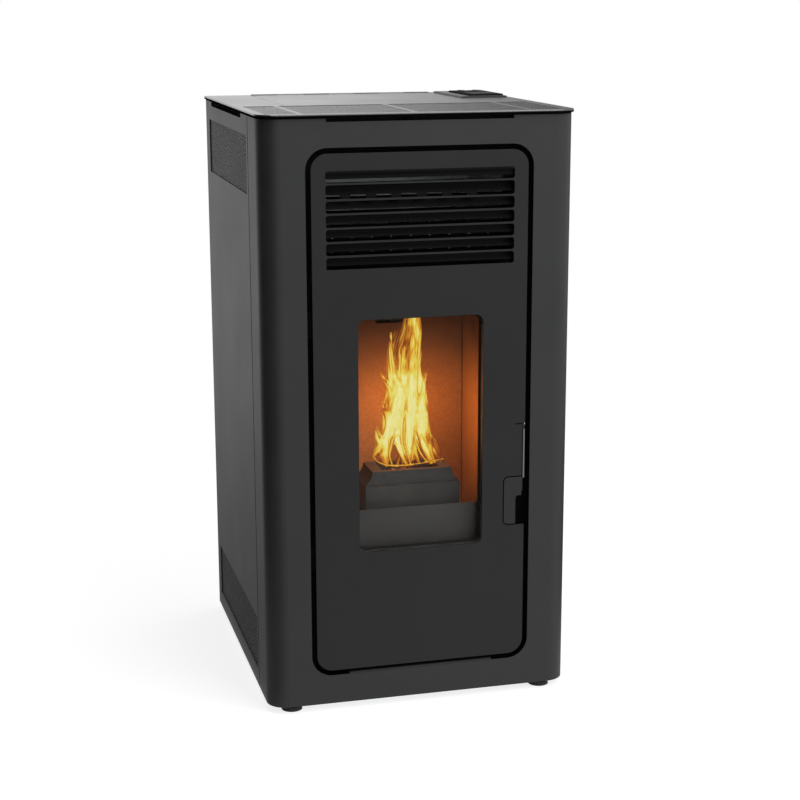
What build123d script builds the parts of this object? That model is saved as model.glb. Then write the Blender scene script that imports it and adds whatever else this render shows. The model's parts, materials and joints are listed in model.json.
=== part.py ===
from build123d import *
import math
import os

os.makedirs("parts", exist_ok=True)

# Pellet stove, in millimetres. Every piece is drawn in the case frame: x runs across the
# stove, y runs back from the front face and z runs up from the underside of the casing.
# The pieces are moved to the part's own frame only when they are written.

# Clearances
FIT = 0.3            # gap between pieces of different bodies, and round loose seats
RUN = 0.05           # radial gap of a shaft or a pin in its bore
PASS = 0.5           # gap round a pipe that passes through a sheet

# Casing
CASE_WIDTH = 500.0
CASE_DEPTH = 530.0
CASE_HEIGHT = 935.0
SHEET = 2.0
CORNER_RADIUS = 32.0
SEAM_SETBACK = 97.5
SEAM_GAP = 1.0
RETURN_WIDTH = 14.0
TRAY_LIP = 22.0
FOOT_HEIGHT = 12.0
FOOT_RADIUS = 17.0
FOOT_STUD_RADIUS = 4.0
FOOT_INSET_SIDE = 40.0
FOOT_INSET_FRONT = 26.0
FOOT_INSET_REAR = 60.0
FOOT_NUT_RADIUS = 8.0
FOOT_NUT_HEIGHT = 6.0
SCREW_HEAD_RADIUS = 4.0
SCREW_HEAD_HEIGHT = 2.4
SCREW_RADIUS = 2.0

# Top plate, its grilles and the hopper lid
TOP_THICKNESS = 5.0
TOP_SIDE_OVERHANG = 2.6
TOP_FRONT_OVERHANG = 5.4
TOP_EDGE_RADIUS = 1.6
GRILLE_FRONT = 8.0
GRILLE_REAR = 203.0
GRILLE_SHARES = ((-0.96, -0.76), (-0.732, -0.048), (-0.02, 0.688), (0.72, 0.924))
GRILLE_SHEET = 1.5
GRILLE_LEDGE = 3.0
GRILLE_PITCH = 17.0
GRILLE_HOLE_RADIUS = 5.0
LID_LEFT_MARGIN = 80.0
LID_RIGHT_MARGIN = 94.0
LID_FRONT = 212.0
LID_HINGE_SETBACK = 8.5
LID_GAP = 0.6
LID_THICKNESS = 3.0
LID_BARREL_RADIUS = 1.4
LID_BARREL_DROP = 0.5
LID_PIN_RADIUS = 0.7
LID_BARREL_COUNT = 7

# Slots and meshes of the casing
FRONT_SLOT_MARGIN = 102.5
FRONT_SLOT_DEPTH = 7.3
SIDE_SLOT_FRONT = 159.0
SIDE_SLOT_SETBACK = 63.0
SIDE_SLOT_DROP = 9.5
SIDE_SLOT_HEIGHT = 7.5
UPPER_MESH_FRONT = 112.0
UPPER_MESH_SETBACK = 37.0
UPPER_MESH_HEIGHT = 91.0
UPPER_MESH_DROP = 33.0
LOWER_MESH_FRONT = 108.0
LOWER_MESH_SETBACK = 30.0
LOWER_MESH_BOTTOM = 28.0
LOWER_MESH_HEIGHT = 91.0
MESH_SHEET = 1.2
MESH_BORDER = 5.0
MESH_PITCH = 13.0
MESH_HOLE_RADIUS = 4.2

# Door opening, door skin and louvre
OPENING_MARGIN = 69.5
OPENING_BOTTOM = 47.6
OPENING_DROP = 45.6
OPENING_RADIUS = 34.0
DOOR_GAP = 8.6
DOOR_SKIN = 3.0
SILL_MARGIN = 61.5
SILL_RISE = 2.5
SILL_DEPTH = 12.0
LOUVRE_MARGIN = 22.2
LOUVRE_DROP = 26.5
LOUVRE_LIP = 3.0
LOUVRE_BAR = 3.0
LOUVRE_SLOTS = (18.1, 21.2, 18.5, 18.5, 18.5, 18.5, 18.5)
LOUVRE_SLOT_RADIUS = 4.0
LOUVRE_SHEET = 1.5
LOUVRE_DEPTH = 27.0
LOUVRE_BLADE_FRONT = 6.0
LOUVRE_BLADE_BACK = 24.0
LOUVRE_BLADE_GAP = 5.5
LOUVRE_BLADE_RISE = 16.0
LOUVRE_COMB_PITCH = 40.0
LOUVRE_COMB_NOTCH = 24.0
LOUVRE_COMB_COUNT = 7
WINDOW_MARGIN = 70.9
WINDOW_BOTTOM = 250.0
WINDOW_DROP = 255.8
WINDOW_RADIUS = 12.0

# Cast door frame, glass and seals
CLIP_SEAT = 11.7
FRAME_FOOT = 70.0
FRAME_HEAD = 57.0
FRAME_RADIUS = 24.0
FRAME_PLATE = 11.0
FRAME_RIM = 22.0
ROPE_WIDTH = 11.4
ROPE_SEAT = 5.0
ROPE_SPACE = 7.0
GLASS_LAP = 11.0
GLASS_THICKNESS = 4.0
GLASS_GASKET = 2.5
GLASS_GASKET_REACH = 3.0
CLIP_THICKNESS = 2.0
CLIP_HALF_HEIGHT = 9.0
CLIP_REACH = 4.0
CLIP_ROWS = 3
BOSS_RADIUS = 5.0

# Door hinges and handle
HINGE_INSET = 10.9
LOWER_HINGE_DROP = 10.0
UPPER_HINGE_DROP = 5.0
HINGE_RADIUS = 4.2
HINGE_PIN_RADIUS = 2.5
HINGE_KNUCKLE = 14.0
HINGE_LEAF = 3.0
HINGE_FOOT_WIDTH = 24.0
FLAP_WIDTH = 29.4
FLAP_INSET = 4.6
FLAP_BOTTOM = 278.4
FLAP_TOP = 356.4
FLAP_GAP = 2.0
FLAP_RADIUS = 9.0
NOTCH_WIDTH = 10.0
NOTCH_TOP = 325.5
LEVER_INSET = 3.0
LEVER_THICKNESS = 3.0
LEVER_FRONT = 1.0
LEVER_TOP = 436.0
LEVER_DEPTH = 14.0
LEVER_STEP = 8.0
LEVER_SLOT_WIDTH = 4.6
LEVER_SLOT_TOP = 445.5
PIVOT_Y = 9.0
PIVOT_Z = 442.5
PIVOT_RADIUS = 3.0
PIVOT_EYE_RADIUS = 6.5
PIVOT_HEAD_RADIUS = 3.8
PIVOT_BLOCK_WIDTH = 12.0
PIVOT_BLOCK_HEIGHT = 16.0
PIVOT_BLOCK_DEPTH = 16.0
HOOK_DEPTH = 40.0
HOOK_HEIGHT = 6.0
HOOK_TOOTH = 4.0
KEEPER_Y = 32.0
KEEPER_RADIUS = 3.0
KEEPER_PLATE = 3.0
KEEPER_GAP = 4.0

# Bulkhead behind the door, with the firebox, the ash chamber and the air outlet behind it
BULKHEAD_Y = 45.0
BULKHEAD_SHEET = 4.0
FIRE_MARGIN = 32.0
FIRE_BOTTOM = 214.0
FIRE_DROP = 45.0
ASH_MARGIN = 30.0
ASH_BOTTOM = 70.0
ASH_TOP = 172.0
AIR_MARGIN = 4.0
AIR_RISE = 6.0
AIR_DROP = 10.0
FIREBOX_MARGIN = 100.0
FIREBOX_WALL = 4.0
FIREBOX_DEPTH = 169.0
FIREBOX_BOTTOM = 208.0
FIREBOX_DROP = 235.0
BRICK = 22.0
BRICK_DROP = 60.0
BAFFLE = 12.0
BAFFLE_FRONT = 58.0
ASH_CHAMBER_GAP = 6.0
ASH_SLOT_INNER = 84.0
ASH_SLOT_OUTER = 118.0
PAN_SHEET = 1.5
PAN_GAP = 4.0
PAN_HEIGHT = 88.0
PAN_FRONT_LAP = 6.0
PAN_HANDLE_HALF = 45.0
PAN_HANDLE_REACH = 16.0

# Burn pot, its holder and the guard in front of it
HOLDER_HALF = 78.5
HOLDER_FRONT = 51.0
HOLDER_REAR = 136.0
HOLDER_TOP = 342.0
HOLDER_SHEET = 3.0
POT_RIM_HALF = 66.0
POT_RIM_FRONT = 56.0
POT_RIM_REAR = 122.0
POT_RIM_TOP = 365.0
POT_STEPS = ((0.0, 0.93), (0.30, 0.45), (0.65, 0.12), (1.0, 0.0))
POT_HOLE_HALF = 48.0
POT_HOLE_FRONT = 64.0
POT_HOLE_REAR = 112.0
POT_WALL = 2.5
POT_DEPTH = 84.0
POT_GRATE_COLUMNS = 7
POT_GRATE_ROWS = 3
POT_GRATE_PITCH = 12.0
POT_GRATE_RADIUS = 2.5
GUARD_LAP = 6.0
GUARD_FRONT = 32.0
GUARD_SHEET = 2.0
GUARD_CLEARANCE = 1.0
GUARD_TOP = 310.0
GUARD_BEND = 9.0
IGNITER_RADIUS = 6.0
IGNITER_Z = 272.0
IGNITER_TIP = 118.0
IGNITER_TAIL = 67.0
IGNITER_FLANGE_RADIUS = 12.0

# Pellet feed
AUGER_DROP = 10.0
AUGER_TUBE_RADIUS = 28.0
AUGER_TUBE_WALL = 2.0
AUGER_TUBE_GAP = 4.0
AUGER_TUBE_SETBACK = 60.0
AUGER_RADIUS = 23.5
AUGER_SHAFT_RADIUS = 8.0
AUGER_NOSE_RADIUS = 5.0
AUGER_PITCH = 38.0
AUGER_FLIGHT = 3.0
AUGER_FLIGHT_MARGIN = 39.0
AUGER_GEAR_LENGTH = 22.0
INLET_HALF = 22.0
INLET_FRONT_MARGIN = 50.0
INLET_REAR_MARGIN = 107.0
CHUTE_HALF = 24.0
CHUTE_SHEET = 2.0
CHUTE_MOUTH = 196.0
CHUTE_MOUTH_HEIGHT = 38.0
CHUTE_LENGTH = 78.0
CHUTE_THROAT = 28.0
HOPPER_MARGIN = 11.2
HOPPER_GAP = 6.0
HOPPER_SETBACK = 25.0
HOPPER_SHEET = 1.2
HOPPER_FUNNEL_DROP = 135.0
HOPPER_COLLAR_RISE = 36.0
HOPPER_FLANGE_LEAD = 5.0
HOPPER_FLANGE_SETBACK = 11.0
HOPPER_FLANGE_LAP = 20.0
GRID_DROP = 55.0
GRID_THICKNESS = 3.0
GRID_BAR = 3.0
GRID_GAP_COUNT = 6
GEARBOX_HALF = 32.0
GEARBOX_FLANGE = 2.0
GEARBOX_LENGTH = 28.0
GEAR_MOTOR_RADIUS = 24.0
GEAR_MOTOR_LENGTH = 20.0

# Warm air path
DUCT_SHEET = 1.5
DUCT_DEPTH = 28.0
DUCT_BOTTOM = 300.0
DUCT_DROP = 73.0
FIN_COUNT = 9
FIN_BASE = 6.0
FIN_HEIGHT = 42.0
FIN_THICKNESS = 3.0
FIN_MARGIN = 22.0
FIN_FRONT_GAP = 14.0
FIN_LENGTH = 140.0
ROOM_FAN_MARGIN = 25.0
ROOM_FAN_DEPTH = 90.0
ROOM_FAN_BOTTOM = 306.0
ROOM_FAN_HEIGHT = 90.0
ROOM_FAN_SHEET = 1.5
ROOM_FAN_PORT_MARGIN = 11.0
ROOM_FAN_PORT_HEIGHT = 60.0
DRUM_RADIUS = 33.0
DRUM_MARGIN = 13.0
DRUM_DISC = 2.0
DRUM_BLADE_COUNT = 18
DRUM_BLADE_DEPTH = 9.0
DRUM_BLADE_THICKNESS = 1.2
DRUM_SHAFT_RADIUS = 4.0
ROOM_MOTOR_RADIUS = 30.0
ROOM_MOTOR_LENGTH = 42.0
ROOM_MOTOR_END = 8.0

# Smoke path and combustion air
SMOKE_INSET = 120.0
SMOKE_WIDTH = 80.0
SMOKE_BOTTOM = 62.0
SMOKE_TOP = 110.0
SMOKE_REACH = 60.0
SMOKE_SHEET = 2.0
SMOKE_FAN_INSET = 160.0
SMOKE_FAN_SETBACK = 180.0
SMOKE_FAN_RADIUS = 74.0
SMOKE_FAN_HEIGHT = 80.0
SMOKE_FAN_SHEET = 2.0
SMOKE_FAN_EYE = 34.0
SMOKE_FAN_OUTLET_REACH = 90.0
IMPELLER_RADIUS = 60.0
IMPELLER_HUB = 12.0
IMPELLER_BLADE_COUNT = 12
IMPELLER_BLADE_HEIGHT = 44.0
IMPELLER_SHEET = 2.5
IMPELLER_SHAFT_RADIUS = 4.0
IMPELLER_TOP_GAP = 8.0
SMOKE_MOTOR_RADIUS = 38.0
SMOKE_MOTOR_HEIGHT = 62.0
SMOKE_MOTOR_EDGE = 6.0
SMOKE_SHAFT_SEAT = 44.0
SMOKE_SHAFT_GAP = 2.0
FLUE_RADIUS = 40.0
FLUE_WALL = 1.5
FLUE_COLLAR_RADIUS = 54.0
FLUE_STANDOFF = 40.0
FLUE_FLANGE = 3.0
INTAKE_X = 60.0
INTAKE_Z = 130.0
INTAKE_RADIUS = 25.0
INTAKE_WALL = 1.5
INTAKE_COLLAR_RADIUS = 34.0
INTAKE_STANDOFF = 30.0

# Controls and mains
PANEL_WIDTH = 82.0
PANEL_SIDE_MARGIN = 5.0
PANEL_LENGTH = 176.0
PANEL_SETBACK = 16.0
PANEL_BASE = 2.5
SLAB_LEFT_MARGIN = 18.0
SLAB_RIGHT_MARGIN = 3.0
SLAB_FRONT_MARGIN = 12.0
SLAB_REAR_MARGIN = 36.0
PANEL_SLAB = 2.7
PANEL_BOX_DEPTH = 20.0
PANEL_BOX_MARGIN = 6.0
DISPLAY_FROM_LEFT = 33.0
DISPLAY_FROM_FRONT = 43.0
DISPLAY_WIDTH = 46.0
DISPLAY_LENGTH = 50.0
DISPLAY_THICKNESS = 2.0
BUTTON_NAMES = ("button_down", "button_up", "button_menu", "button_power")
BUTTON_FROM_LEFT = 18.0
BUTTON_COLUMN_PITCH = 28.0
BUTTON_FROM_FRONT = 88.0
BUTTON_ROW_PITCH = 23.0
BUTTON_RADIUS = 7.0
BUTTON_PROUD = 1.3
BUTTON_TRAVEL = 1.0
BUTTON_DEPTH = 11.0
BOARD_LENGTH = 160.0
BOARD_SETBACK = 80.0
BOARD_EDGE = 10.0
BOARD_POST_RADIUS = 3.5
BOARD_BOTTOM = 420.0
BOARD_TOP = 600.0
BOARD_THICKNESS = 1.6
BOARD_STANDOFF = 10.0
SOCKET_X = 150.0
SOCKET_Z = 110.0
SOCKET_HALF_WIDTH = 25.0
SOCKET_HALF_HEIGHT = 32.0
SOCKET_FLANGE = 3.0
SOCKET_BODY_DEPTH = 26.0
SOCKET_BODY_MARGIN = 3.0
SOCKET_MOUTH_WIDTH = 24.6
SOCKET_MOUTH_HEIGHT = 16.6
SOCKET_MOUTH_DEPTH = 17.0
SOCKET_MOUTH_DROP = 12.0
SOCKET_PIN_LENGTH = 8.0
SOCKET_PIN_SPACING = 7.0
SWITCH_RISE = 14.0
SWITCH_RADIUS = 7.0
SWITCH_HALF_WIDTH = 9.5
SWITCH_PIVOT_RADIUS = 1.5
SWITCH_PIVOT_LENGTH = 2.5
SWITCH_FACE = 5.2
SWITCH_DIP = 1.0
SWITCH_TILT = 8.0
THERMOSTAT_X = 90.0
THERMOSTAT_Z = 215.0
THERMOSTAT_BODY_RADIUS = 10.0
THERMOSTAT_BODY_LENGTH = 18.0
THERMOSTAT_NECK_RADIUS = 4.7
THERMOSTAT_NECK_LENGTH = 6.0
THERMOSTAT_CAP_RADIUS = 8.0
THERMOSTAT_CAP_LENGTH = 8.0
REAR_GRILLE_BOTTOM = 300.0
REAR_GRILLE_ROWS = 6
REAR_GRILLE_COLUMNS = 4
REAR_GRILLE_PITCH = 14.0
REAR_GRILLE_SLOT = 60.0
REAR_GRILLE_SLOT_HEIGHT = 5.0
REAR_SCREW_MARGIN = 40.0
REAR_SCREW_COUNT = 4

# Places that follow from the driving dimensions
HALF = CASE_WIDTH / 2
INNER = HALF - SHEET
TOP_FACE = CASE_HEIGHT + TOP_THICKNESS
REAR_PANEL_Y = CASE_DEPTH - 2 * SHEET
GRILLE_SPANS = [(low * HALF, high * HALF) for low, high in GRILLE_SHARES]
LID_LEFT = -HALF + LID_LEFT_MARGIN
LID_RIGHT = HALF - LID_RIGHT_MARGIN
LID_HINGE_Y = CASE_DEPTH - LID_HINGE_SETBACK
FRONT_SLOT_HALF = HALF - FRONT_SLOT_MARGIN
SIDE_SLOT_REAR = CASE_DEPTH - SIDE_SLOT_SETBACK
SIDE_SLOT_BOTTOM = CASE_HEIGHT - SIDE_SLOT_DROP
UPPER_MESH_REAR = CASE_DEPTH - UPPER_MESH_SETBACK
UPPER_MESH_TOP = CASE_HEIGHT - UPPER_MESH_DROP
UPPER_MESH_BOTTOM = UPPER_MESH_TOP - UPPER_MESH_HEIGHT
LOWER_MESH_REAR = CASE_DEPTH - LOWER_MESH_SETBACK
LOWER_MESH_TOP = LOWER_MESH_BOTTOM + LOWER_MESH_HEIGHT
OPENING_HALF = HALF - OPENING_MARGIN
OPENING_TOP = CASE_HEIGHT - OPENING_DROP
SILL_HALF = OPENING_HALF - SILL_MARGIN
DOOR_HALF = OPENING_HALF - DOOR_GAP
DOOR_BOTTOM = OPENING_BOTTOM + DOOR_GAP
DOOR_TOP = OPENING_TOP - DOOR_GAP
LOUVRE_HALF = DOOR_HALF - LOUVRE_MARGIN
LOUVRE_TOP = DOOR_TOP - LOUVRE_DROP
WINDOW_HALF = DOOR_HALF - WINDOW_MARGIN
WINDOW_TOP = DOOR_TOP - WINDOW_DROP
FRAME_HALF = WINDOW_HALF + GLASS_LAP + CLIP_SEAT + FIT + FRAME_RIM
FRAME_BOTTOM = WINDOW_BOTTOM - FRAME_FOOT
FRAME_TOP = WINDOW_TOP + FRAME_HEAD
HINGE_X = HINGE_INSET - DOOR_HALF
HINGE_Y = DOOR_SKIN + FIT + HINGE_RADIUS
HINGE_HEIGHTS = (WINDOW_BOTTOM - LOWER_HINGE_DROP, WINDOW_TOP - UPPER_HINGE_DROP)
FLAP_LEFT = DOOR_HALF - FLAP_INSET - FLAP_WIDTH
LEVER_LEFT = DOOR_HALF - LEVER_INSET
LEVER_SLOT_LEFT = DOOR_HALF - LEVER_SLOT_WIDTH
BULKHEAD_BACK = BULKHEAD_Y + BULKHEAD_SHEET
FIREBOX_HALF = HALF - FIREBOX_MARGIN
FIREBOX_TOP = CASE_HEIGHT - FIREBOX_DROP
FIREBOX_REAR = BULKHEAD_BACK + FIREBOX_DEPTH
FIRE_HALF = FIREBOX_HALF - FIRE_MARGIN
FIRE_TOP = FIREBOX_TOP - FIRE_DROP
BRICK_TOP = FIREBOX_TOP - BRICK_DROP
BRICK_FACE_Y = FIREBOX_REAR - FIREBOX_WALL - BRICK
ASH_HALF = FIREBOX_HALF - ASH_MARGIN
ASH_CHAMBER_HALF = ASH_HALF + ASH_CHAMBER_GAP
DUCT_HALF = FIREBOX_HALF
DUCT_TOP = CASE_HEIGHT - DUCT_DROP
DUCT_REAR = FIREBOX_REAR + DUCT_DEPTH
AIR_HALF = DUCT_HALF - AIR_MARGIN
AIR_BOTTOM = FIREBOX_TOP + AIR_RISE
AIR_TOP = DUCT_TOP - AIR_DROP
FRAME_FACE = DOOR_SKIN + FRAME_PLATE
GLASS_FRONT = FRAME_FACE + GLASS_GASKET
GLASS_BACK = GLASS_FRONT + GLASS_THICKNESS
ROPE_BACK = BULKHEAD_Y - FIT
ROPE_FRONT = ROPE_BACK - ROPE_SPACE - ROPE_SEAT
FRAME_BACK = ROPE_FRONT + ROPE_SEAT
GUARD_HALF = WINDOW_HALF + GUARD_LAP
GUARD_BOTTOM = FRAME_BOTTOM + FRAME_RIM + GUARD_CLEARANCE
IGNITER_END = FIREBOX_REAR + IGNITER_TAIL
GRILLE_FACE = TOP_FACE - PASS
GRILLE_BASE = GRILLE_FACE - GRILLE_SHEET
LID_FACE = TOP_FACE
LID_BASE = LID_FACE - LID_THICKNESS
LID_BARREL_Z = TOP_FACE - LID_BARREL_DROP
AUGER_Z = FIREBOX_TOP - AUGER_DROP
AUGER_TUBE_FRONT = FIREBOX_REAR + AUGER_TUBE_GAP
AUGER_TUBE_REAR = CASE_DEPTH - AUGER_TUBE_SETBACK
HOPPER_LEFT = LID_LEFT + HOPPER_MARGIN
HOPPER_RIGHT = LID_RIGHT - HOPPER_MARGIN
HOPPER_FRONT = DUCT_REAR + HOPPER_GAP
HOPPER_REAR = CASE_DEPTH - HOPPER_SETBACK
HOPPER_TOP = LID_BASE - FIT
HOPPER_FUNNEL_TOP = CASE_HEIGHT - HOPPER_FUNNEL_DROP
HOPPER_COLLAR_TOP = AUGER_Z + HOPPER_COLLAR_RISE
HOPPER_FLANGE_FRONT = LID_FRONT - HOPPER_FLANGE_LEAD
HOPPER_FLANGE_REAR = CASE_DEPTH - HOPPER_FLANGE_SETBACK
INLET_FRONT = HOPPER_FRONT + INLET_FRONT_MARGIN
INLET_REAR = HOPPER_REAR - INLET_REAR_MARGIN
GRID_HEIGHT = CASE_HEIGHT - GRID_DROP
FIN_HALF_WIDTH = DUCT_HALF - FIN_MARGIN
ROOM_FAN_HALF = DUCT_HALF - ROOM_FAN_MARGIN
ROOM_FAN_PORT_HALF = ROOM_FAN_HALF - ROOM_FAN_PORT_MARGIN
DRUM_HALF = ROOM_FAN_HALF - DRUM_MARGIN
DRUM_Y = DUCT_REAR + ROOM_FAN_DEPTH / 2
DRUM_Z = ROOM_FAN_BOTTOM + ROOM_FAN_HEIGHT / 2
SMOKE_LEFT = SMOKE_INSET - HALF
SMOKE_RIGHT = SMOKE_LEFT + SMOKE_WIDTH
SMOKE_FAN_X = SMOKE_FAN_INSET - HALF
SMOKE_FAN_Y = CASE_DEPTH - SMOKE_FAN_SETBACK
SMOKE_REAR = SMOKE_FAN_Y + SMOKE_REACH
SMOKE_FAN_OUTLET_REAR = SMOKE_FAN_Y + SMOKE_FAN_OUTLET_REACH
SMOKE_FAN_TOP = SMOKE_TOP + SMOKE_FAN_HEIGHT
FLUE_X = SMOKE_FAN_X - SMOKE_FAN_RADIUS + SMOKE_FAN_HEIGHT / 2
FLUE_Z = SMOKE_TOP + SMOKE_FAN_HEIGHT / 2
PANEL_RIGHT = HALF - PANEL_SIDE_MARGIN
PANEL_LEFT = PANEL_RIGHT - PANEL_WIDTH
PANEL_REAR = CASE_DEPTH - PANEL_SETBACK
PANEL_FRONT = PANEL_REAR - PANEL_LENGTH
PANEL_TOP = TOP_FACE + PANEL_BASE + PANEL_SLAB
SLAB_LEFT = PANEL_LEFT + SLAB_LEFT_MARGIN
SLAB_RIGHT = PANEL_RIGHT - SLAB_RIGHT_MARGIN
SLAB_FRONT = PANEL_FRONT + SLAB_FRONT_MARGIN
SLAB_REAR = PANEL_REAR - SLAB_REAR_MARGIN
DISPLAY_CENTRE = (SLAB_LEFT + DISPLAY_FROM_LEFT, SLAB_FRONT + DISPLAY_FROM_FRONT)
BOARD_REAR = CASE_DEPTH - BOARD_SETBACK
BOARD_FRONT = BOARD_REAR - BOARD_LENGTH
FRONT_Y = -(CASE_DEPTH + FLUE_STANDOFF - TOP_FRONT_OVERHANG) / 2


# ---------------------------------------------------------------- shared shapes

def block(x, y, z):
    """Block between the limits (low, high) given along each axis."""
    spans = (x, y, z)
    size = [high - low for low, high in spans]
    middle = [(high + low) / 2 for low, high in spans]
    return Pos(*middle) * Box(*size)


def rod(along, centre, radius, span):
    """Round bar along an axis; centre gives its other two coordinates in x, y, z order."""
    length = span[1] - span[0]
    middle = (span[0] + span[1]) / 2
    first, second = centre
    if along == "x":
        return Pos(middle, first, second) * Rot(0, 90, 0) * Cylinder(radius, length)
    if along == "y":
        return Pos(first, middle, second) * Rot(90, 0, 0) * Cylinder(radius, length)
    return Pos(first, second, middle) * Cylinder(radius, length)


def tube(along, centre, radius, wall, span):
    """Pipe along an axis."""
    beyond = (span[0] - 1, span[1] + 1)
    return rod(along, centre, radius, span) - rod(along, centre, radius - wall, beyond)


def upright(x, y, z, radius):
    """Upright slab with rounded corners when seen from the front."""
    width = x[1] - x[0]
    height = z[1] - z[0]
    slab = extrude(RectangleRounded(width, height, radius), y[1] - y[0])
    return Pos((x[0] + x[1]) / 2, y[1], (z[0] + z[1]) / 2) * Rot(90, 0, 0) * slab


def profile(points, x):
    """Outline of (y, z) points drawn across the stove from x[0] to x[1]."""
    face = make_face(Polyline([(0, y, z) for y, z in points], close=True))
    return Pos(x[0], 0, 0) * extrude(face, x[1] - x[0], dir=(1, 0, 0))


def punched(width, height, thickness, border, pitch, radius):
    """Flat sheet with round holes on a square grid, centred on its own origin."""
    columns = int((width - 2 * border - 2 * radius) // pitch) + 1
    rows = int((height - 2 * border - 2 * radius) // pitch) + 1
    holes = [place * Circle(radius) for place in GridLocations(pitch, pitch, columns, rows)]
    return extrude(Rectangle(width, height) - holes, thickness)


def plan_block(inset, rear, z):
    """Block that follows the plan of the casing, inset from its front and its sides."""
    body = block((-HALF + inset, HALF - inset), (inset, rear), z)
    corners = body.edges().filter_by(Axis.Z).sort_by(Axis.Y)[:2]
    return fillet(corners, CORNER_RADIUS - inset)


def mirrored(part):
    """The same piece on the other side of the stove."""
    return mirror(part, about=Plane.YZ)


def foot_places():
    """Plan positions of the levelling feet."""
    side = HALF - FOOT_INSET_SIDE
    rows = (FOOT_INSET_FRONT, CASE_DEPTH - FOOT_INSET_REAR)
    return [(x, y) for y in rows for x in (-side, side)]


# ---------------------------------------------------------------- casing

def base_tray():
    tray = plan_block(SHEET, REAR_PANEL_Y, (0, TRAY_LIP))
    tray -= plan_block(2 * SHEET, REAR_PANEL_Y - SHEET, (SHEET, TRAY_LIP + 1))
    for place in foot_places():
        tray -= rod("z", place, FOOT_STUD_RADIUS + FIT, (-1, SHEET + 1))
    return tray


def levelling_feet():
    pieces = []
    hexagon = RegularPolygon(FOOT_NUT_RADIUS, 6)
    for x, y in foot_places():
        pad = Pos(0, 0, -FOOT_HEIGHT) * Cone(FOOT_RADIUS, FOOT_RADIUS - 2, FOOT_HEIGHT / 2,
                                             align=(Align.CENTER, Align.CENTER, Align.MIN))
        collar = Pos(0, 0, -FOOT_HEIGHT / 2) * extrude(hexagon, FOOT_HEIGHT / 2)
        stud_top = SHEET + FOOT_NUT_HEIGHT + FOOT_STUD_RADIUS
        stud = rod("z", (0, 0), FOOT_STUD_RADIUS, (-FOOT_HEIGHT / 2, stud_top))
        nut = Pos(0, 0, SHEET) * extrude(hexagon, FOOT_NUT_HEIGHT)
        nut -= rod("z", (0, 0), FOOT_STUD_RADIUS + RUN, (0, stud_top))
        pieces.append(Pos(x, y, 0) * (pad + collar + stud))
        pieces.append(Pos(x, y, 0) * nut)
    return Compound(children=pieces)


def front_surround():
    skin = plan_block(0, SEAM_SETBACK, (0, CASE_HEIGHT))
    skin -= plan_block(SHEET, SEAM_SETBACK + 1, (-1, CASE_HEIGHT + 1))
    wing_end = (SEAM_SETBACK - SHEET, SEAM_SETBACK)
    wing_height = (TRAY_LIP, CASE_HEIGHT - SHEET)
    fold = block((INNER - RETURN_WIDTH, INNER), wing_end, wing_height)
    skin += fold
    skin += mirrored(fold)
    skin -= upright((-OPENING_HALF, OPENING_HALF), (-1, SHEET + 1),
                    (OPENING_BOTTOM, OPENING_TOP), OPENING_RADIUS)
    skin -= block((-FRONT_SLOT_HALF, FRONT_SLOT_HALF), (-1, SHEET + 1),
                  (CASE_HEIGHT - FRONT_SLOT_DEPTH, CASE_HEIGHT + 1))
    sill = block((-SILL_HALF, SILL_HALF), (SHEET / 2, SILL_DEPTH),
                 (OPENING_BOTTOM - SHEET, OPENING_BOTTOM + SILL_RISE))
    return skin + sill


def rear_screw_heights():
    step = (CASE_HEIGHT - 2 * REAR_SCREW_MARGIN) / (REAR_SCREW_COUNT - 1)
    return [REAR_SCREW_MARGIN + row * step for row in range(REAR_SCREW_COUNT)]


def rear_screw_holes(x_side):
    """Clearance holes of the rear panel screws on one side."""
    x = x_side * (INNER - RETURN_WIDTH / 2)
    reach = (REAR_PANEL_Y - 1, CASE_DEPTH + 1)
    return [rod("y", (x, z), SCREW_RADIUS + FIT, reach) for z in rear_screw_heights()]


def side_panel():
    """Left side panel; the right one is its mirror image."""
    front = SEAM_SETBACK + SEAM_GAP
    skin = (-HALF, -INNER)
    returned = (-INNER, -INNER + RETURN_WIDTH)
    panel = block(skin, (front, CASE_DEPTH), (0, CASE_HEIGHT))
    panel += block(returned, (front, front + SHEET), (TRAY_LIP, CASE_HEIGHT - SHEET))
    panel += block(returned, (CASE_DEPTH - SHEET, CASE_DEPTH), (0, CASE_HEIGHT))
    cut = (-HALF - 1, -INNER + 1)
    radius = SIDE_SLOT_HEIGHT / 2
    middle = SIDE_SLOT_BOTTOM + radius
    for y in (SIDE_SLOT_FRONT + radius, SIDE_SLOT_REAR - radius):
        panel -= rod("x", (y, middle), radius, cut)
    panel -= block(cut, (SIDE_SLOT_FRONT + radius, SIDE_SLOT_REAR - radius),
                   (SIDE_SLOT_BOTTOM, SIDE_SLOT_BOTTOM + SIDE_SLOT_HEIGHT))
    panel -= block(cut, (UPPER_MESH_FRONT, UPPER_MESH_REAR), (UPPER_MESH_BOTTOM, UPPER_MESH_TOP))
    panel -= block(cut, (LOWER_MESH_FRONT, LOWER_MESH_REAR), (LOWER_MESH_BOTTOM, LOWER_MESH_TOP))
    for hole in rear_screw_holes(-1):
        panel -= hole
    return panel


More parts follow.
